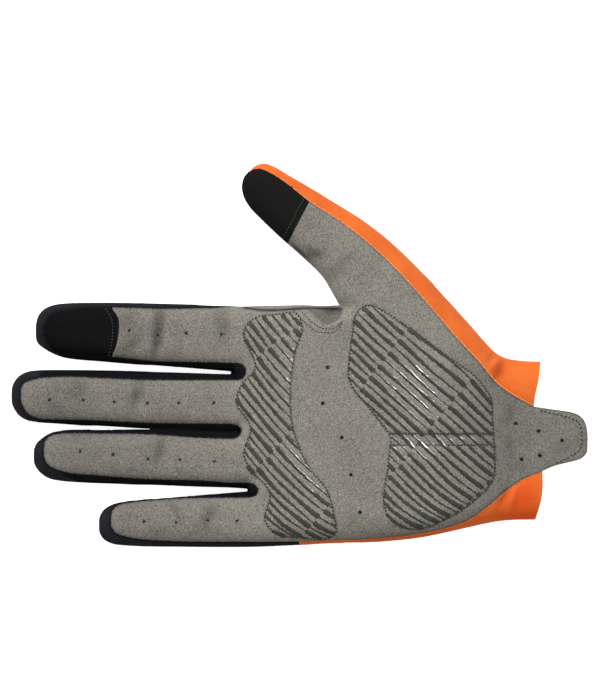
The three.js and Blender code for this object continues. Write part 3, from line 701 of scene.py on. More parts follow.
bottom, top = seams["bottom"], seams["top"]
outer = bag("outerBag", -body["swell"], body["voxel"], body["outerSmooth"])
inner = bag("innerBag", body["wall"], body["innerVoxel"], body["innerSmooth"])
for upper, lower in slots:
    # The remesh closes the narrow end of the gap between two fingers, so it is opened again.
    upper, lower = smoothLine(upper, 1.0), smoothLine(lower, 1.0)
    turn = np.linspace(0, math.pi, 9)[1:-1]
    half = (upper[-1, 1] - lower[-1, 1]) / 2
    nose = (upper[-1] + lower[-1]) / 2 + half * np.column_stack([np.sin(turn), np.cos(turn)])
    takeAway(outer, prism(np.vstack([upper, nose, lower[::-1]]), bottom, top))
print("bags:", len(outer.data.polygons), "and", len(inner.data.polygons), "faces")
settle(inner, baseRelief)
settle(outer, baseRelief)
front, back = copyOf(outer, "frontSkin"), outer
settle(front, frontRelief)
settle(back, backRelief)
frontTree = treeOf(front)
print("relief worked in")
takeAway(front, inner)
takeAway(back, inner)
bpy.data.objects.remove(inner)


# Cutting the skin into panels

palmCutter = cut(prism(outlines["palm"], seams["palmLevel"], top), "UNION",
                 prism(outlines["thumbInner"], seams["thumbLevel"], top))
gussetCutter = prism(outlines["gusset"], seams["gussetLevel"], top)
indexCutter = prism(outlines["indexPatch"], bottom, top)
thumbCutter = prism(outlines["thumbPatch"], bottom, top)
fingerCutter = prism(outlines["fingerSide"], bottom, top)
backCuffCutter = prism(outlines["cuff"], bottom, top)
frontCuffCutter = takeAway(prism(outlines["cuff"], bottom, top),
                           prism(outlines["tab"], seams["palmLevel"], top))

ventLook = {
    # a hole's darkness is painted shade
    "palm": (0.58, 0.9, 1.0, 0.74),      # radius, depth, darkness and how far it reaches
    "finger": (0.44, 0.5, 0.9, 0.6),
    "fingersEnd": -20, "points": 8,
    "oval": 0.22, "corners": 0.14,       # how far a hole is from round
}


def ventKind(x):
    return ventLook["finger" if x < ventLook["fingersEnd"] else "palm"]


def ventCutter():
    # Small ragged punched holes, blind pits whose insides get painted shade.
    pins = []
    for k, (x, y) in enumerate(vents):
        radius, depth, _, _ = ventKind(x)
        turn = 2 * math.pi * np.arange(ventLook["points"]) / ventLook["points"] + k
        wobble = ventLook["oval"] * np.sin(2 * turn + k * 1.7) + ventLook["corners"] * np.sin(3 * turn + k)
        reach = radius * (1 + wobble)
        low = surfaceAt(frontTree, x * mm, y * mm)[0] / mm - depth
        pins.append(prism(np.column_stack([x + reach * np.cos(turn), y + reach * np.sin(turn)]), low, top))
    return joined("cutterPins", pins)


takeAway(front, frontCuffCutter)
gusset = keepInside(copyOf(front, "thumb_gusset_suede"), gussetCutter)
palmSide = takeAway(keepInside(front, palmCutter), gussetCutter)
indexPatch = keepInside(copyOf(palmSide, "index_patch"), indexCutter)
thumbPatch = keepInside(copyOf(palmSide, "thumb_patch"), thumbCutter)
palm = takeAway(palmSide, indexCutter, thumbCutter, ventCutter())
palm.name = "palm_suede"
print("palm side cut:", len(palm.data.polygons), "faces")

takeAway(back, backCuffCutter, palmCutter, gussetCutter)


strip = {
    "inset": 3.2,        # it reaches this far under the fingers' sides
    "tip": 7.0,          # and ends this far from their tips
    "room": 0.7, "round": 3.4, "half": 3.7,      # its end round the gap
    "step": 1.5,
}


def fourchetteOutline(upperName, lowerName, crotch):
    def alongside(name, side, inset):
        rows = fingers[name]
        start, end = rows[0][0] + strip["tip"], crotch[0] - 2 * seams["crotchDepth"]
        line = [(row[0], row[side] + inset) for row in rows if start < row[0] < end]
        return smoothLine(line, strip["step"])

    share = np.linspace(-1, 1, 13)
    end = np.column_stack([crotch[0] + strip["room"] - strip["round"] * share**2,
                           crotch[1] - strip["half"] * share])
    return np.vstack([alongside(upperName, 2, strip["inset"]), end,
                      alongside(lowerName, 1, -strip["inset"])[::-1]])


pairs = [("index", "middle"), ("middle", "ring"), ("ring", "little")]
sideCutters = [prism(fourchetteOutline(*pair, crotch), bottom, top) for pair, crotch in zip(pairs, crotches)]
fourchettes = []
for (upperName, lowerName), cutter in zip(pairs, sideCutters):
    piece = keepInside(copyOf(back, f"side_strip_{upperName}_{lowerName}"), cutter)
    fourchettes.append((piece, f"fourchette_{upperName}_{lowerName}"))
takeAway(back, *sideCutters)

rowLines = [[(-far, 30), (10, 30)], *fingerGaps, [(-far, -85), (10, -85)]]
fingerBacks = []
for name, above, below in zip(fingers, rowLines, rowLines[1:]):
    piece = copyOf(back, f"{name}_knit")
    keepInside(piece, fingerCutter, prism([*above, *below[::-1]], bottom, top))
    fingerBacks.append((piece, f"{name}_back"))
handBack = takeAway(back, fingerCutter)
handBack.name = "hand_back_orange"
print("backs cut")


# Padded pieces on the palm

padLook = {
    "rise": 0.5,       # of the foam in the middle
    "flange": 0.45,    # flat, and sewn down
    "roll": 3.0,       # the foam rises over this width
    "rim": 0.10,
    "sole": 0.03,      # its underside lies this far over the palm fabric
    "ripple": 0.05, "rippleStep": 1.4, "rippleWidth": 0.9,      # pulled in by the stitches
    "grid": 0.6,
}


def padPiece(name):
    outline = padOutline(name)
    low, high = outline.min(0) - 1, outline.max(0) + 1
    counts = np.ceil((high - low) / padLook["grid"]).astype(int)
    bpy.ops.object.select_all(action="DESELECT")
    bpy.ops.mesh.primitive_grid_add(x_subdivisions=counts[0], y_subdivisions=counts[1], size=1)
    obj = bpy.context.active_object
    obj.name = f"{name}_pad_cover"
    co = places(obj)
    co[:, :2] = (low + (co[:, :2] + 0.5) * (high - low)) * mm
    place(obj, co)
    keepInside(edited(obj, raised(1)), prism(outline, -1, 3))
    co = places(obj)
    inside, along = edges[name].near(planOf(obj))
    inward = np.clip((inside - padLook["flange"]) / padLook["roll"], 0, 1)
    swell = 0.5 * inward * (2 - inward) + 0.5 * inward**2 * (3 - 2 * inward)
    crown = padLook["rim"] + padLook["rise"] * swell
    crown += ripple(along, padLook["rippleStep"], padLook["ripple"]) * hump(inside, padLook["rippleWidth"])
    ground = np.array([surfaceAt(frontTree, x, y)[0] for x, y, _ in co])
    upper = co[:, 2] > mm / 2
    co[:, 2] = ground + np.where(upper, crown, padLook["sole"]) * mm
    return place(obj, co)


pads = {name: padPiece(name) for name in padEdges}
print("pads formed")
topTree = treeOf(palm, gusset, indexPatch, thumbPatch, *pads.values())


# Painted shade and painted light: the fabric is darker in the seams, the stitched grooves, the folds, the
# vents and where less light falls, and lighter where more falls

# Strengths and widths of the painted shade.
darker = {
    "seam": 0.42, "seamWidth": 0.42,
    "groove": 0.12, "grooveWidth": 0.4,
    "fold": 0.95, "foldWidth": 0.55,
    "moon": 0.42,
    "knit": 0.5, "knitWidth": 1.2,
    "side": 0.9, "sideSlope": 2.5,           # the side that faces the next finger up
    "sideStart": 9, "sideFade": 6,           # from the fingertip
    "strip": 0.92,                           # deep between the fingers
    "stripEdge": 0.55, "stripEdgeWidth": 0.7,
    "gapFold": 0.35, "gapFoldAt": 1.9, "gapFoldWidth": 0.35,
}
# Painted shade along x: darker over the fingers and towards the heel and the tab.
broadShade = [      # x, and how much darker the palm fabric is there
    (-130, 0.25), (-72, 0.23), (-34, 0.13), (-24, 0.03), (52, 0), (80, 0.28), (88, 0.29), (98, 0.21),
    (120, 0.21),
]
cuffShade = [(89, -57, 85, 11, 8, 0.42), (89, -65, 0, 14, 3, 0.3)]      # painted shade: the knit beside the tab deeper and redder where it turns from the light
# painted light on the thumb's black patch
patchLight = 0.045


def paint(obj, name, values):
    obj.data.attributes.new(name, "FLOAT", "POINT").data.foreach_set("value", values)


def paintShade(obj, dark):
    paint(obj, "shade", np.clip(dark, 0, 1))
    paint(obj, "glow", np.clip(-dark, 0, 1))


def paintSuedeShade(obj):
    plan = planOf(obj)
    dark = darker["seam"] * hump(edges["palm"].near(plan)[0], darker["seamWidth"])
    for pad in padEdges:
        dark = np.maximum(dark, darker["groove"] * hump(edges[pad].near(plan)[0], darker["grooveWidth"]))
    dark = np.maximum(dark, darker["fold"] * hump(edges["fold"].near(plan)[0], darker["foldWidth"]))
    dark = np.maximum(dark, darker["moon"] * (edges["moon"].near(plan)[0] > 0))
    # painted shade along x, and the folds' painted shade and highlights
    dark += np.interp(plan[:, 0], *zip(*broadShade)) + dentShade(plan)
    # painted shade in and round each vent
    for x, y in vents:
        _, _, hole, reach = ventKind(x)
        dark = np.maximum(dark, hole * (np.hypot(plan[:, 0] - x, plan[:, 1] - y) < reach))
    paintShade(obj, dark)


for piece in (palm, gusset, *pads.values()):
    paintSuedeShade(piece)
# Painted shade and painted highlights of the folds on the knit's top.
paintShade(handBack, dentShade(planOf(handBack)) * (facing(handBack)[:, 2] > 0))
# Painted shade beside the tab, deeper and redder.
paint(handBack, "warm", ovals(planOf(handBack), cuffShade))
for piece, node in fingerBacks:
    # Painted shade: a shadow beside the suede's edge, and the sides that face the next finger up are darker
    # past the fingertip.
    plan = planOf(piece)
    shadow = darker["knit"] * hump(edges["palm"].near(plan)[0], darker["knitWidth"])
    fromTip = plan[:, 0] - plan[:, 0].min()
    pastTip = np.clip((fromTip - darker["sideStart"]) / darker["sideFade"], 0, 1) * (node != "index_back")
    side = darker["side"] * np.clip(darker["sideSlope"] * facing(piece)[:, 1], 0, 1) * pastTip
    paint(piece, "shade", np.maximum(shadow, side * (1 - shadow)))
for piece, _ in fourchettes:
    # Painted shade, deep between the fingers, with painted dark lines of a fold or two round the end of the
    # gap.
    away = np.abs(edges["palm"].near(planOf(piece))[0])
    deepness = darker["strip"] - darker["stripEdge"] * hump(away, darker["stripEdgeWidth"])
    folds = darker["gapFold"] * hump(away - darker["gapFoldAt"], darker["gapFoldWidth"])
    paint(piece, "shade", np.clip(deepness - folds, 0, 1))
# Painted light on the thumb's patch.
paint(thumbPatch, "glow", np.full(len(thumbPatch.data.vertices), patchLight))


# Rubber grip stripes. Guide lines run across each pad from the fingers' side to the cuff's,
# with so many stripes from one guide to the next. Step lines cross them: there every other
# stripe drops from thick to thin, and its neighbours do the reverse.

grip = {
    "thin": 0.5, "thick": 2.12, "ease": 0.95, "height": 0.3, "sunk": 0.08,
    "inset": 0.12,      # from the pad's edge
    "step": 0.28,
    "fewest": 5,        # points, or the stripe is left out
    "endRound": 0.8,    # steps, over which its end rounds off
    "thinLift": 0.45,   # a thin stripe is lower
    "rag": 0.42, "ragSize": 0.75, "ragSeeds": (1.3, 9.1), "least": 0.13,
    "channel": (36.6, 76.6, -36.2, -30.8),      # the sewn channel between the two ball pads
    "glint": 4, "glintEdge": 1.5,       # how sharply a glossier place ends
    # painted light: the paler stripes towards the fingers
    "paleEnd": 66, "paleFade": 24,      # the stripes are paler towards the fingers
}
glints = [  # x, y, turn, half length, half width of the glossier places
    (-4.6, -9, 86, 23, 5), (4, -47, -48, 15, 6), (47, -14.5, -44, 17, 11), (43.4, -38, 0, 13, 5),
    (57, -33.2, 0, 19, 2),
]
gripGuides = {
    "knuckle": [
        (-1, [(-25.4, 46), (-11, 26), (-3.4, 16), (1.2, 11.3), (4, 8), (14.6, -4)]),
        (0, [(-25.4, 38), (-15, 25.6), (-7, 16), (-3.8, 12.4), (0.6, 7.2), (14.6, -8)]),
        (6, [(-25.4, 11.6), (-23, 8), (-18.6, 2), (-13.8, -4.8), (-9.8, -9.6), (-3.4, -16), (4.2, -23.2),
             (14.6, -32.4)]),
        (12, [(-25.4, -16.8), (-23.4, -20), (-19.8, -24.4), (-15, -30), (-9.4, -36.4), (0.2, -46.4),
              (6.2, -51.6), (14.6, -58.8)]),
        (16, [(-25.4, -32.4), (-22.2, -38), (-16.6, -45.2), (-9.8, -53.2), (-3.8, -58.8), (5.4, -66.8),
              (9.8, -69.6), (14.6, -71.6)]),
        (19, [(-25.4, -46.4), (-19.8, -53.6), (-12.6, -61.6), (-6.6, -67.6), (0.2, -72), (14.6, -78)]),
        (21, [(-25.4, -53.2), (-19.8, -60.4), (-13.4, -68), (-11, -70), (-6.6, -72), (0.2, -74.8),
              (14.6, -80.4)]),
    ],
    "ball": [
        (0, [(18, 33), (29, 23.2), (44.6, 9.6), (52.2, 4), (64.2, -5.6), (72.2, -14.4), (78, -21.4)]),
        (2, [(18, 26.2), (25, 19.2), (32.2, 12.4), (39.4, 6), (51.4, -5.2), (63.4, -15.2), (72.2, -23.6),
             (78, -29)]),
        (6, [(18, 9), (24.2, 2.8), (31.4, -4), (42.2, -13.2), (54.6, -24.4), (63.4, -32.4),
             (70.2, -38.8), (78, -45.4)]),
        (10, [(18, -7.4), (24.2, -13.2), (34.2, -22), (44.2, -31.2), (52.2, -38.8), (60.2, -47.2),
              (68.2, -53.6), (78, -59.7)]),
        (12, [(18, -15), (26.2, -22.4), (34.2, -30), (40.2, -35.6), (47.4, -43.2), (56.2, -52),
              (65, -58.4), (78, -64.1)]),
        (15, [(18, -25.8), (30.2, -38), (37.4, -45.6), (46.2, -54.8), (54.2, -61.2), (60.2, -64.4),
              (78, -70.9)]),
        (18, [(18, -38.6), (30.2, -50.8), (37.4, -58.8), (45, -64.4), (52.2, -68), (78, -75.3)]),
        (20, [(18, -45.8), (30.2, -58), (36.6, -65.2), (43, -69.2), (52.2, -72.4), (78, -78)]),
    ],
}
gripSteps = {
    "knuckle": [
        [(-25.4, 24), (14.6, 35)],
        [(-25.4, 9.2), (-22.4, 11.2), (-17, 14.8), (-11, 16.4), (-3.4, 17.6), (14.6, 21)],
        [(-25.4, -9.2), (-21, -4.8), (-16.6, -0.8), (-14.2, 1.2), (-9.4, 5.2), (-3.8, 8.8), (0.2, 12.4),
         (14.6, 24)],
        [(-25.4, -54.4), (-21, -50), (-16.6, -45.2), (-11, -38.8), (-7, -34.4), (-3.4, -30),
         (14.6, -13)],
        [(-25.4, -99), (-3.8, -76.8), (3.4, -69.2), (7.4, -64.8), (11.4, -60), (14.6, -56.4)],
        [(-25.4, -140), (14.6, -100)],
    ],
    "ball": [
        [(18, -4), (19.8, 4), (21.4, 10), (24.2, 16.4), (29, 20.4), (38.2, 24.4), (78, 42)],
        [(18, -21), (23, -15.2), (26.2, -11.2), (30.2, -6), (33.8, -1.6), (37.6, 3.6), (41.8, 8.8),
         (48.2, 16.4), (78, 52)],
        [(18, -69), (34.2, -50.8), (37.4, -46.4), (41.8, -42), (45.4, -36.8), (49.4, -32.4), (57.4, -22.8),
         (65.8, -12.8), (78, 2)],
        [(18, -79), (30.2, -76), (48.6, -69.6), (55.4, -66.8), (60.6, -64), (65, -60.8), (69, -57.2),
         (73, -52.8), (78, -46)],
        [(18, -140), (78, -110)],
    ],
}


def guideHeights(points, xs):
    line = smoothLine(points, 0.5)
    return np.interp(xs, line[:, 0], line[:, 1])


def gripLines(family):
    # Each stripe as plan points with the stripe's half width at each of them.
    guides = gripGuides[family]
    xs = np.arange(guides[0][1][0][0], guides[0][1][-1][0], grip["step"])
    levels = np.array([guideHeights(points, xs) for _, points in guides])
    numbers = [number for number, _ in guides]
    steps = np.array([guideHeights(points, xs) for points in gripSteps[family]])
    for number in range(numbers[0], numbers[-1] + 1):
        ys = np.array([np.interp(number, numbers, levels[:, k]) for k in range(len(xs))])
        passed = np.clip((steps > ys).sum(0), 1, len(steps) - 1)
        above = np.take_along_axis(steps, passed[None] - 1, 0)[0]
        below = np.take_along_axis(steps, passed[None], 0)[0]
        share = np.clip((above - ys) / (above - below), 0, 1)
        swell = 1 - share if number % 2 == 0 else share
        half = (grip["thin"] + (grip["thick"] - grip["thin"]) * swell ** grip["ease"]) / 2
        yield np.column_stack([xs, ys, half])


# A stripe's section: places across, heights, and gloss, which is a thin line on one flank.
ringSides = np.array([-1, -0.87, -0.52, 0, 0.52, 0.87, 1])
ringLifts = np.array([0, 0.54, 0.88, 1, 0.88, 0.54, 0])
ringGloss = np.array([0, 0, 0, 0.12, 0.7, 0.2, 0])


def gripMesh(name, lines, inside):
    points, faces = [], []
    for line in lines:
        kept = inside(line[:, :2])
        runs = np.split(np.arange(len(line)), np.flatnonzero(np.diff(kept.astype(int))) + 1)
        for run in runs:
            if not kept[run[0]] or len(run) < grip["fewest"]:
                continue
            part = line[run]
            ends = np.minimum(np.arange(len(run)), np.arange(len(run))[::-1])
            ends = np.clip((ends + grip["endRound"]) / (2 * grip["endRound"]), 0, 1)
            size = grip["ragSize"]
            rag = [[noise.noise((x / size, y / size, seed)) for seed in grip["ragSeeds"]]
                   for x, y in part[:, :2]]
            faces += tubeFaces(len(points), len(run), len(ringSides))
            for (x, y, half), across, uneven, full in zip(
                    part, sideways(part[:, :2]), grip["rag"] * np.array(rag), np.sqrt(1 - (1 - ends) ** 2)):
                for shift, lift in zip(ringSides, ringLifts):
                    reach = max(half + uneven[int(shift > 0)], grip["least"]) * full
                    px, py = np.array([x, y]) + across * shift * reach
                    z = surfaceAt(topTree, px * mm, py * mm)[0]
                    rise = grip["height"] * lift * full * min(1, grip["thinLift"] + half)
                    rise -= grip["sunk"] * (lift == 0)
                    points.append((px * mm, py * mm, z + rise * mm))
    return meshFrom(name, points, faces)


def within(*names):
    def test(points):
        return np.any([edges[name].near(points)[0] > grip["inset"] for name in names], axis=0)
    return test


def inBallPads(points):
    # On both pads and across the sewn channel between them.
    return within("thumb", "heel")(points) | inBox(points, grip["channel"])


gripPieces = [
    gripMesh("knuckle_grip", gripLines("knuckle"), within("knuckle")),
    gripMesh("ball_grip", gripLines("ball"), inBallPads),
]
for piece in gripPieces:
    at = planOf(piece)
    gloss = np.clip(grip["glint"] * sum(ovalField(at, *glint) for glint in glints) - grip["glintEdge"], 0, 1)
    paint(piece, "gloss", gloss * np.tile(ringGloss, len(at) // len(ringGloss)))
    # painted light on the stripes towards the fingers
    paint(piece, "pale", np.clip((grip["paleEnd"] - at[:, 0]) / grip["paleFade"], 0, 1))
print("grip stripes laid:", [len(piece.data.polygons) for piece in gripPieces], "faces")


# Stitches

thread = {
    "height": 0.42, "sag": 0.10, "lift": 0.18,
    "uneven": 0.9, "unevenRate": 1.9, "unevenSeed": 4.4,      # in turn
    "longer": 0.4,      # an uneven stitch is also this much longer or shorter
    "lineStep": 0.6,
    # pitch, length, width, slant and zigzag of a stitch in each kind of row
    "pad": (1.4, 1.34, 0.62, 20, 20),
    "channel": (1.3, 1.55, 0.7, 0, 36),
    "gusset": (1.3, 0.95, 0.42, 0, 0),
    "tab": (1.6, 1.25, 0.55, 2, 32),
    "patch": (1.25, 0.66, 0.3, 0, 0),
    "seam": (2.3, 0.75, 0.32, 16, 0),
    "inset": 0.26,      # of a pad's row from the pad's edge
}
indexPatchRow = [(-77.4, 18.3), (-75.2, 14.7), (-74.6, 9.6), (-75.2, 3.5), (-76.2, 0.0)]
thumbPatchRow = [(1.5, 61.9), (-0.4, 58.6), (-3.6, 52.2), (-6.6, 46.9)]
gussetRows = [
    [(0.3, 18.0), (1.4, 16.6), (4.6, 13.4), (6.8, 11.8), (9, 10.7), (11.6, 10.6), (14.2, 11), (16.6, 13)],
    [(-2.1, 17.6), (1, 14.2), (2.9, 12.2), (5.7, 10.1), (7.9, 9.2), (10.5, 9), (13.3, 9), (15.5, 10.6),
     (16.6, 12.3)],
]
tabRow = [
    (96.7, -22.4), (100.4, -23.2), (103.7, -23.9), (106.5, -24.7), (108.9, -25.5), (111.1, -26.7),
    (112, -28.2), (112.6, -30.4), (112.8, -35.1), (112.4, -37), (111.4, -38.5), (109.5, -39.7),
    (105.9, -41.7), (102.8, -42.9),
]


def oneStitch():
    # It is 1 long, wide and high until it is laid, with its length along X.
    bpy.ops.object.select_all(action="DESELECT")
    bpy.ops.mesh.primitive_uv_sphere_add(segments=6, ring_count=4, radius=1)
    quarter = {"value": math.pi / 2, "orient_axis": "Y", "center_override": (0, 0, 0)}
    obj = edited(bpy.context.active_object, (bpy.ops.transform.rotate, quarter),
                 (bpy.ops.transform.resize, {"value": (0.5, 0.5, 0.5)}))
    shape = places(obj)
    faces = [tuple(face.vertices) for face in obj.data.polygons]
    bpy.data.objects.remove(obj)
    return shape, faces


stitchShape, stitchFaces = oneStitch()


def stitches(name, kind, lines, tree):
    points, faces = [], []
    pitch, length, width, slant, zigzag = thread[kind]
    for line in lines:
        line = evenly(line, pitch)
        ahead = np.gradient(line, axis=0)
        for k, ((x, y), (dx, dy)) in enumerate(zip(line, ahead)):
            turn = math.radians(slant + zigzag * (-1) ** k)
            z, normal = surfaceAt(tree, x * mm, y * mm)
            if z == 0:
                continue
            rate = thread["unevenRate"]
            uneven = thread["uneven"] * noise.noise((x * rate, y * rate, thread["unevenSeed"]))
            c, s = math.cos(turn + uneven), math.sin(turn + uneven)
            along = Vector((dx * c - dy * s, dx * s + dy * c, 0))
            along = (along - normal * along.dot(normal)).normalized()
            across = normal.cross(along)
            stretched = length * (1 + thread["longer"] * uneven)
            shape = stitchShape * np.array([stretched, width, thread["height"]])
            shape[:, 2] += thread["lift"] - thread["sag"] * (2 * shape[:, 0] / length) ** 2
            axes = np.array([along, across, normal])
            start = len(points)
            points += [tuple(p) for p in shape @ axes * mm + np.array([x * mm, y * mm, z])]
            faces += [tuple(start + i for i in face) for face in stitchFaces]
    return meshFrom(name, points, faces)


def padRows():
    # The knuckle pad's outline and one round the other two pads, then the two rows between them.
    inset = thread["inset"]

    def closed(points):
        loop = leftHanded(smoothLoop(points, seams["edgeStep"]))
        return offsetLine(np.vstack([loop, loop[:1]]), inset)

    ball, heel = padEdges["thumb"], padEdges["heel"]
    around = ball[:12] + heel[16::-1] + ball[14:]
    channel = [np.array([ball[13], ball[12]]) + (0, inset), np.array([heel[18], heel[17]]) - (0, inset)]
    return [closed(padEdges["knuckle"]), closed(around)], channel


def threadRows(kind, *rows):
    lines = [smoothLine(row, thread["lineStep"]) for row in rows]
    return stitches(f"{kind}_stitches", kind, lines, topTree)


aroundPads, channelRows = padRows()
padThread = joined("pad_stitches", [stitches("pad_stitches", "pad", aroundPads, topTree),
                                    stitches("channel_stitches", "channel", channelRows, topTree)])
gussetThread = threadRows("gusset", *gussetRows)
tabThread = threadRows("tab", tabRow)
patchThread = threadRows("patch", indexPatchRow, thumbPatchRow)
print("stitched")


# A rolled edge of the orange knit along both seams with the palm fabric

seamEdge = {
    "thumb": (0.32, -0.04),      # radius, and how high its middle lies over the fabric
    "little": (0.26, -0.06),
    "offset": 0.3, "step": 0.7, "sides": 6,
    "sewnTo": 78, "stitchOffset": 0.35,
}


def rolledEdge(name, line, tree):
    radius, lift = seamEdge[name]
    line = evenly(offsetLine(line, seamEdge["offset"]), seamEdge["step"])
    sides = seamEdge["sides"]
    points = []
    for (x, y), aside in zip(line, sideways(line)):
        z, normal = surfaceAt(tree, x * mm, y * mm)
        if z == 0:
            continue
        across, up = np.array([*aside, 0]), np.array(normal)
        for turn in 2 * math.pi * np.arange(sides) / sides:
            points.append(np.array([x * mm, y * mm, z + lift * mm])
                          + (across * math.cos(turn) + up * math.sin(turn)) * radius * mm)
    return meshFrom(f"{name}_seam_edge", points, tubeFaces(0, len(points) // sides, sides))


thumbSeamLine = smoothLine(thumbSeam[2:], thread["lineStep"])
littleSeamLine = smoothLine(littleSeam[:7], thread["lineStep"])
seamTree = treeOf(handBack, palm)
seamCords = [rolledEdge("thumb", thumbSeamLine, seamTree), rolledEdge("little", littleSeamLine, seamTree)]
sewnPart = offsetLine(thumbSeamLine[thumbSeamLine[:, 0] < seamEdge["sewnTo"]], seamEdge["stitchOffset"])
seamThread = stitches("seam_stitches", "seam", [sewnPart], treeOf(handBack, *seamCords))
print("seam edges laid")


# Finishes

class Value:
    # A shader socket that can be added and multiplied.
    def __init__(self, finish, socket):
        self.finish, self.socket = finish, socket

    def math(self, operation, first, second):
        return self.finish.node("ShaderNodeMath", {"operation": operation}, {0: first, 1: second})

    def __add__(self, other):
        return self.math("ADD", self, other)

    __radd__ = __add__

    def __mul__(self, other):
        return self.math("MULTIPLY", self, other)

    __rmul__ = __mul__


class Finish:
    # One material, built around a Principled shader.
    def __init__(self, name, **fixed):
        self.material = bpy.data.materials.new(name)
        self.material.use_nodes = True
        self.tree = self.material.node_tree
        self.shader = self.tree.nodes["Principled BSDF"]
        for key, value in fixed.items():
            self.shader.inputs[key.replace("_", " ")].default_value = value
        self.spot = self.node("ShaderNodeTexCoord", output="Object")

    def node(self, kind, settings=None, inputs=None, output=0):
        made = self.tree.nodes.new(kind)
        for key, value in (settings or {}).items():
            setattr(made, key, value)
        for key, value in (inputs or {}).items():
            self.feed(made.inputs[key], value)
        return Value(self, made.outputs[output])

    def feed(self, socket, value):
        if isinstance(value, Value):
            self.tree.links.new(value.socket, socket)
        else:
            socket.default_value = value

    def spots(self, size, detail=2.0, stretch=None):
        at = self.spot
        if stretch:
            at = self.node("ShaderNodeMapping", {}, {"Vector": at, "Scale": stretch})
        scale = 1 / (size * mm)
        return self.node("ShaderNodeTexNoise", {}, {"Vector": at, "Scale": scale, "Detail": detail})

    def cells(self, size):
        scale = 1 / (size * mm)
        return self.node("ShaderNodeTexVoronoi", {}, {"Vector": self.spot, "Scale": scale}, output=1)

    def wave(self, direction, size, distortion):
        # At scale 1 a wave texture repeats every 0.314.
        settings = {"wave_type": "BANDS", "bands_direction": direction, "wave_profile": "SIN"}
        return self.node("ShaderNodeTexWave", settings, {
            "Vector": self.spot, "Scale": 0.314 / (size * mm), "Distortion": distortion,
            "Detail": 1.0, "Detail Scale": 2.0})

    def mix(self, factor, first, second):
        return self.node("ShaderNodeMix", {"data_type": "RGBA"}, {0: factor, 6: first, 7: second}, output=2)

    def painted(self, name):
        return self.node("ShaderNodeAttribute", {"attribute_name": name}, output=2)

    def window(self, value, low=0.3, high=0.7):
        return self.node("ShaderNodeMapRange", {}, {
            "Value": value, "From Min": low, "From Max": high, "To Min": 0.0, "To Max": 1.0})

    def bump(self, height, depth):
        made = self.node("ShaderNodeBump", {}, {"Height": height, "Distance": depth * mm})
        self.feed(self.shader.inputs["Normal"], made)

    def colour(self, value):
        self.feed(self.shader.inputs["Base Color"], value)


def shade(*colour):
    # An sRGB colour as Blender's linear one.
    shares = [c / 255 for c in colour]
    return (*[s / 12.92 if s < 0.04 else ((s + 0.055) / 1.055) ** 2.4 for s in shares], 1.0)


suedeLook = {
    "grain": 0.19, "speckle": 0.17, "nap": 1.6, "cloud": 16,      # sizes
    "napStretch": (1, 1.6, 1), "grainWindow": (0.28, 0.72),
    "grainTone": 0.8, "softTone": 0.1,
    "speckleBump": 0.45, "grainBump": 0.2, "napBump": 0.16, "depth": 0.2,
    # colours of the painted highlight and the painted shade
    "highlight": (214, 208, 198), "dark": (14, 13, 13),
}
knitLook = {
    "cloud": 9, "grain": 0.3, "columns": 1.4,      # a column is this many rows wide
    "rowWaver": 1.2, "columnWaver": 1.5, "grainBump": 0.3,
}
rubberLook = {
    "cloud": 3, "skin": 0.5, "depth": 0.12,
    "uneven": 4, "unevenWindow": (0.25, 0.45),      # of the glints
    # dark stripes, and paler ones painted with more light
    "dark": ((33, 37, 28), (49, 53, 43)), "pale": ((43, 47, 37), (63, 67, 55)),
}


def suedeFinish(name, light, dark):
    look = suedeLook
    finish = Finish(name, Roughness=0.95, Specular_IOR_Level=0.1, Sheen_Weight=0.05, Sheen_Roughness=0.6)
    grain = finish.cells(look["grain"])
    speckle = finish.spots(look["speckle"], detail=1)
    nap = finish.spots(look["nap"], stretch=look["napStretch"])
    cloud = finish.spots(look["cloud"])
    tone = (finish.window(grain, *look["grainWindow"]) * look["grainTone"]
            + finish.window(nap) * look["softTone"] + finish.window(cloud) * look["softTone"])
    fabric = finish.mix(tone, dark, light)
    # painted highlights, then painted shade
    fabric = finish.mix(finish.painted("glow"), fabric, shade(*look["highlight"]))
    finish.colour(finish.mix(finish.painted("shade"), fabric, shade(*look["dark"])))
    height = speckle * look["speckleBump"] + grain * look["grainBump"] + nap * look["napBump"]
    finish.bump(height, look["depth"])
    return finish.material


def knitFinish(name, light, dark, rowSize, depth, sheen=0.0, pattern=0.2, **painted):
    look = knitLook
    finish = Finish(name, Roughness=0.85, Specular_IOR_Level=0.02, Sheen_Weight=sheen, Sheen_Roughness=0.4)
    loops = (finish.wave("X", rowSize, look["rowWaver"])
             * finish.wave("Y", rowSize * look["columns"], look["columnWaver"]))
    cloud = finish.spots(look["cloud"])
    grain = finish.cells(look["grain"])
    tone = loops * pattern + (finish.window(cloud) + grain) * ((1 - pattern) / 2)
    knit = finish.mix(tone, dark, light)
    for layer, colour in painted.items():
        knit = finish.mix(finish.painted(layer), knit, colour)
    finish.colour(knit)
    finish.bump(loops + grain * look["grainBump"], depth)
    return finish.material


def rubberFinish(name):
    look = rubberLook
    finish = Finish(name, Roughness=0.9, Specular_IOR_Level=0.16, Coat_Roughness=0.1, Coat_IOR=1.5)
    cloud = finish.window(finish.spots(look["cloud"], detail=3))
    dark, pale = [finish.mix(cloud, shade(*low), shade(*high)) for low, high in (look["dark"], look["pale"])]
    finish.colour(finish.mix(finish.painted("pale"), dark, pale))
    uneven = finish.window(finish.spots(look["uneven"]), *look["unevenWindow"])
    finish.feed(finish.shader.inputs["Coat Weight"], finish.painted("gloss") * uneven)
    finish.bump(finish.spots(look["skin"]), look["depth"])
    return finish.material


def threadFinish(name, light, dark):
    finish = Finish(name, Roughness=0.7, Specular_IOR_Level=0.2)
    finish.colour(finish.mix(finish.spots(0.8), dark, light))
    finish.bump(finish.spots(0.25), 0.05)
    return finish.material


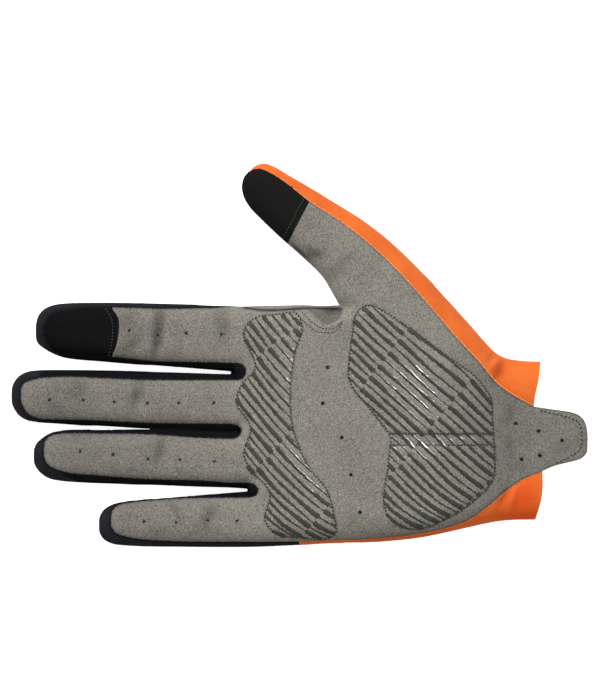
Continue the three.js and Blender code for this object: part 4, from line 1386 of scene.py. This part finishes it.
suede = suedeFinish("suede", shade(169, 164, 153), shade(80, 78, 71))
padSuede = suedeFinish("pad suede", shade(175, 170, 158), shade(85, 82, 74))
# The black knit's shade layer is painted shade.
blackKnit = knitFinish("black knit", shade(48, 48, 54), shade(23, 23, 27), rowSize=0.8, depth=0.14,
                       sheen=0.012, pattern=0.4, shade=shade(3, 3, 4))
# The orange knit's layers: warm and shade are painted shade, glow is painted highlight.
orangeKnit = knitFinish("orange knit", shade(240, 123, 55), shade(222, 99, 36), rowSize=0.5, depth=0.05,
                        sheen=0.12, warm=shade(238, 56, 3), glow=shade(255, 176, 120),
                        shade=shade(140, 38, 8))
# The rolled edge's paler orange is a painted highlight.
orangeEdge = knitFinish("orange edge", shade(252, 152, 84), shade(240, 124, 58), rowSize=0.5, depth=0.05)
# Its glow layer is painted light.
blackPatch = knitFinish("black patch", shade(18, 18, 18), shade(9, 9, 9), rowSize=0.45, depth=0.08,
                        glow=shade(90, 89, 87))
rubber = rubberFinish("grip rubber")
darkThread = threadFinish("dark thread", shade(34, 34, 31), shade(18, 18, 16))
greyThread = threadFinish("grey thread", shade(98, 98, 96), shade(68, 68, 66))
paleThread = threadFinish("pale thread", shade(255, 218, 176), shade(243, 184, 132))


# Every piece gets its finish, rides the glove's one body and stands for its solid

def finishPiece(obj, material, slot, *nodes, angle=50):
    obj.data.materials.clear()
    obj.data.materials.append(material)
    only(obj)
    bpy.ops.object.shade_smooth_by_angle(angle=math.radians(angle))
    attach(obj, "root")
    if nodes:
        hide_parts(*nodes)


for obj in [o for o in bpy.data.objects if o.name.startswith("cutter")]:
    bpy.data.objects.remove(obj)

finishPiece(palm, suede, "suede", "palm_panel")
finishPiece(gusset, suede, "suede", "thumb_gusset")
finishPiece(handBack, orangeKnit, "orange_knit", "hand_back")
finishPiece(indexPatch, blackPatch, "black_patch", "index_touch_patch")
finishPiece(thumbPatch, blackPatch, "black_patch", "thumb_touch_patch")
for piece, node in fingerBacks + fourchettes:
    finishPiece(piece, blackKnit, "black_knit", node)
for name, piece in pads.items():
    finishPiece(piece, padSuede, "grip_pad", f"{name}_pad")
for piece in gripPieces:
    finishPiece(piece, rubber, "grip_pad", angle=80)
finishPiece(padThread, darkThread, "grip_pad")
finishPiece(gussetThread, darkThread, "suede")
finishPiece(tabThread, darkThread, "suede")
finishPiece(patchThread, greyThread, "black_patch")
finishPiece(seamThread, paleThread, "orange_knit")
for piece in seamCords:
    finishPiece(piece, orangeEdge, "orange_knit")


# Floor, light and camera

studio = {
    "view": 274.4,        # height of the picture at the glove, in mm
    "lens": 300.0, "sensor": 36.0, "clipStart": 0.05,
    "centre": (0.2, 4.8), "level": 8.0,
    "floor": (-0.2, 0.9), "bounce": (-0.6, 0.0),      # height in mm, and glow
    "table": (238, 238, 238), "sky": 0.455,
}
lamps = {      # place in metres, direction of its long side, size, power
    "key": ((-1.9, 1.7, 2.0), (1, 1, 0), (1.0, 1.0), 79),
    "fill": ((0.9, 1.1, 1.3), (1, -1, 0), (1.0, 1.0), 10),
    "sparkle": ((0.5, 0.5, 1.0), (0.7, -0.7, 0), (0.9, 0.03), 90),
}


def stageFloor(name, level, glow):
    bpy.ops.object.select_all(action="DESELECT")
    bpy.ops.mesh.primitive_plane_add(size=20)
    floor = bpy.context.active_object
    floor.name = name
    floor.location.z = level * mm
    finish = Finish(name, Roughness=0.9, Specular_IOR_Level=0.1)
    finish.shader.inputs["Base Color"].default_value = shade(*studio["table"])
    finish.shader.inputs["Emission Color"].default_value = (1, 1, 1, 1)
    finish.shader.inputs["Emission Strength"].default_value = glow
    floor.data.materials.append(finish.material)
    return floor


def lamp(name, at, along, size, power):
    # A soft box that faces the glove, with its long side turned along a direction.
    data = bpy.data.lights.new(name, "AREA")
    data.shape = "RECTANGLE"
    data.size, data.size_y = size
    data.energy = power
    back = Vector(at).normalized()
    side = (Vector(along) - back * back.dot(Vector(along))).normalized()
    obj = bpy.data.objects.new(name, data)
    obj.location = at
    obj.rotation_euler = Matrix((side, back.cross(side), back)).transposed().to_euler()
    bpy.context.scene.collection.objects.link(obj)
    return obj


def studioSetup():
    # The white table that shows glows a little, as in an overexposed product picture, and
    # another one just under it gives the glove its bounced light.
    shown = stageFloor("floor", *studio["floor"])
    shown.visible_diffuse = shown.visible_glossy = shown.visible_shadow = False
    bounce = stageFloor("bounce", *studio["bounce"])
    bounce.visible_camera = False
    lights = {name: lamp(name, *how) for name, how in lamps.items()}
    lights["sparkle"].visible_diffuse = False
    world = bpy.data.worlds.new("studio")
    world.use_nodes = True
    world.node_tree.nodes["Background"].inputs["Color"].default_value = (1, 1, 1, 1)
    world.node_tree.nodes["Background"].inputs["Strength"].default_value = studio["sky"]
    bpy.context.scene.world = world
    bpy.context.scene.view_settings.view_transform = "Standard"
    data = bpy.data.cameras.new("camera")
    data.lens, data.sensor_width = studio["lens"], studio["sensor"]
    distance = studio["view"] / studio["sensor"] * studio["lens"]
    camera = bpy.data.objects.new("camera", data)
    camera.location = Vector((*studio["centre"], studio["level"] + distance)) * mm
    data.clip_start = studio["clipStart"]
    bpy.context.scene.collection.objects.link(camera)
    bpy.context.scene.camera = camera


studioSetup()
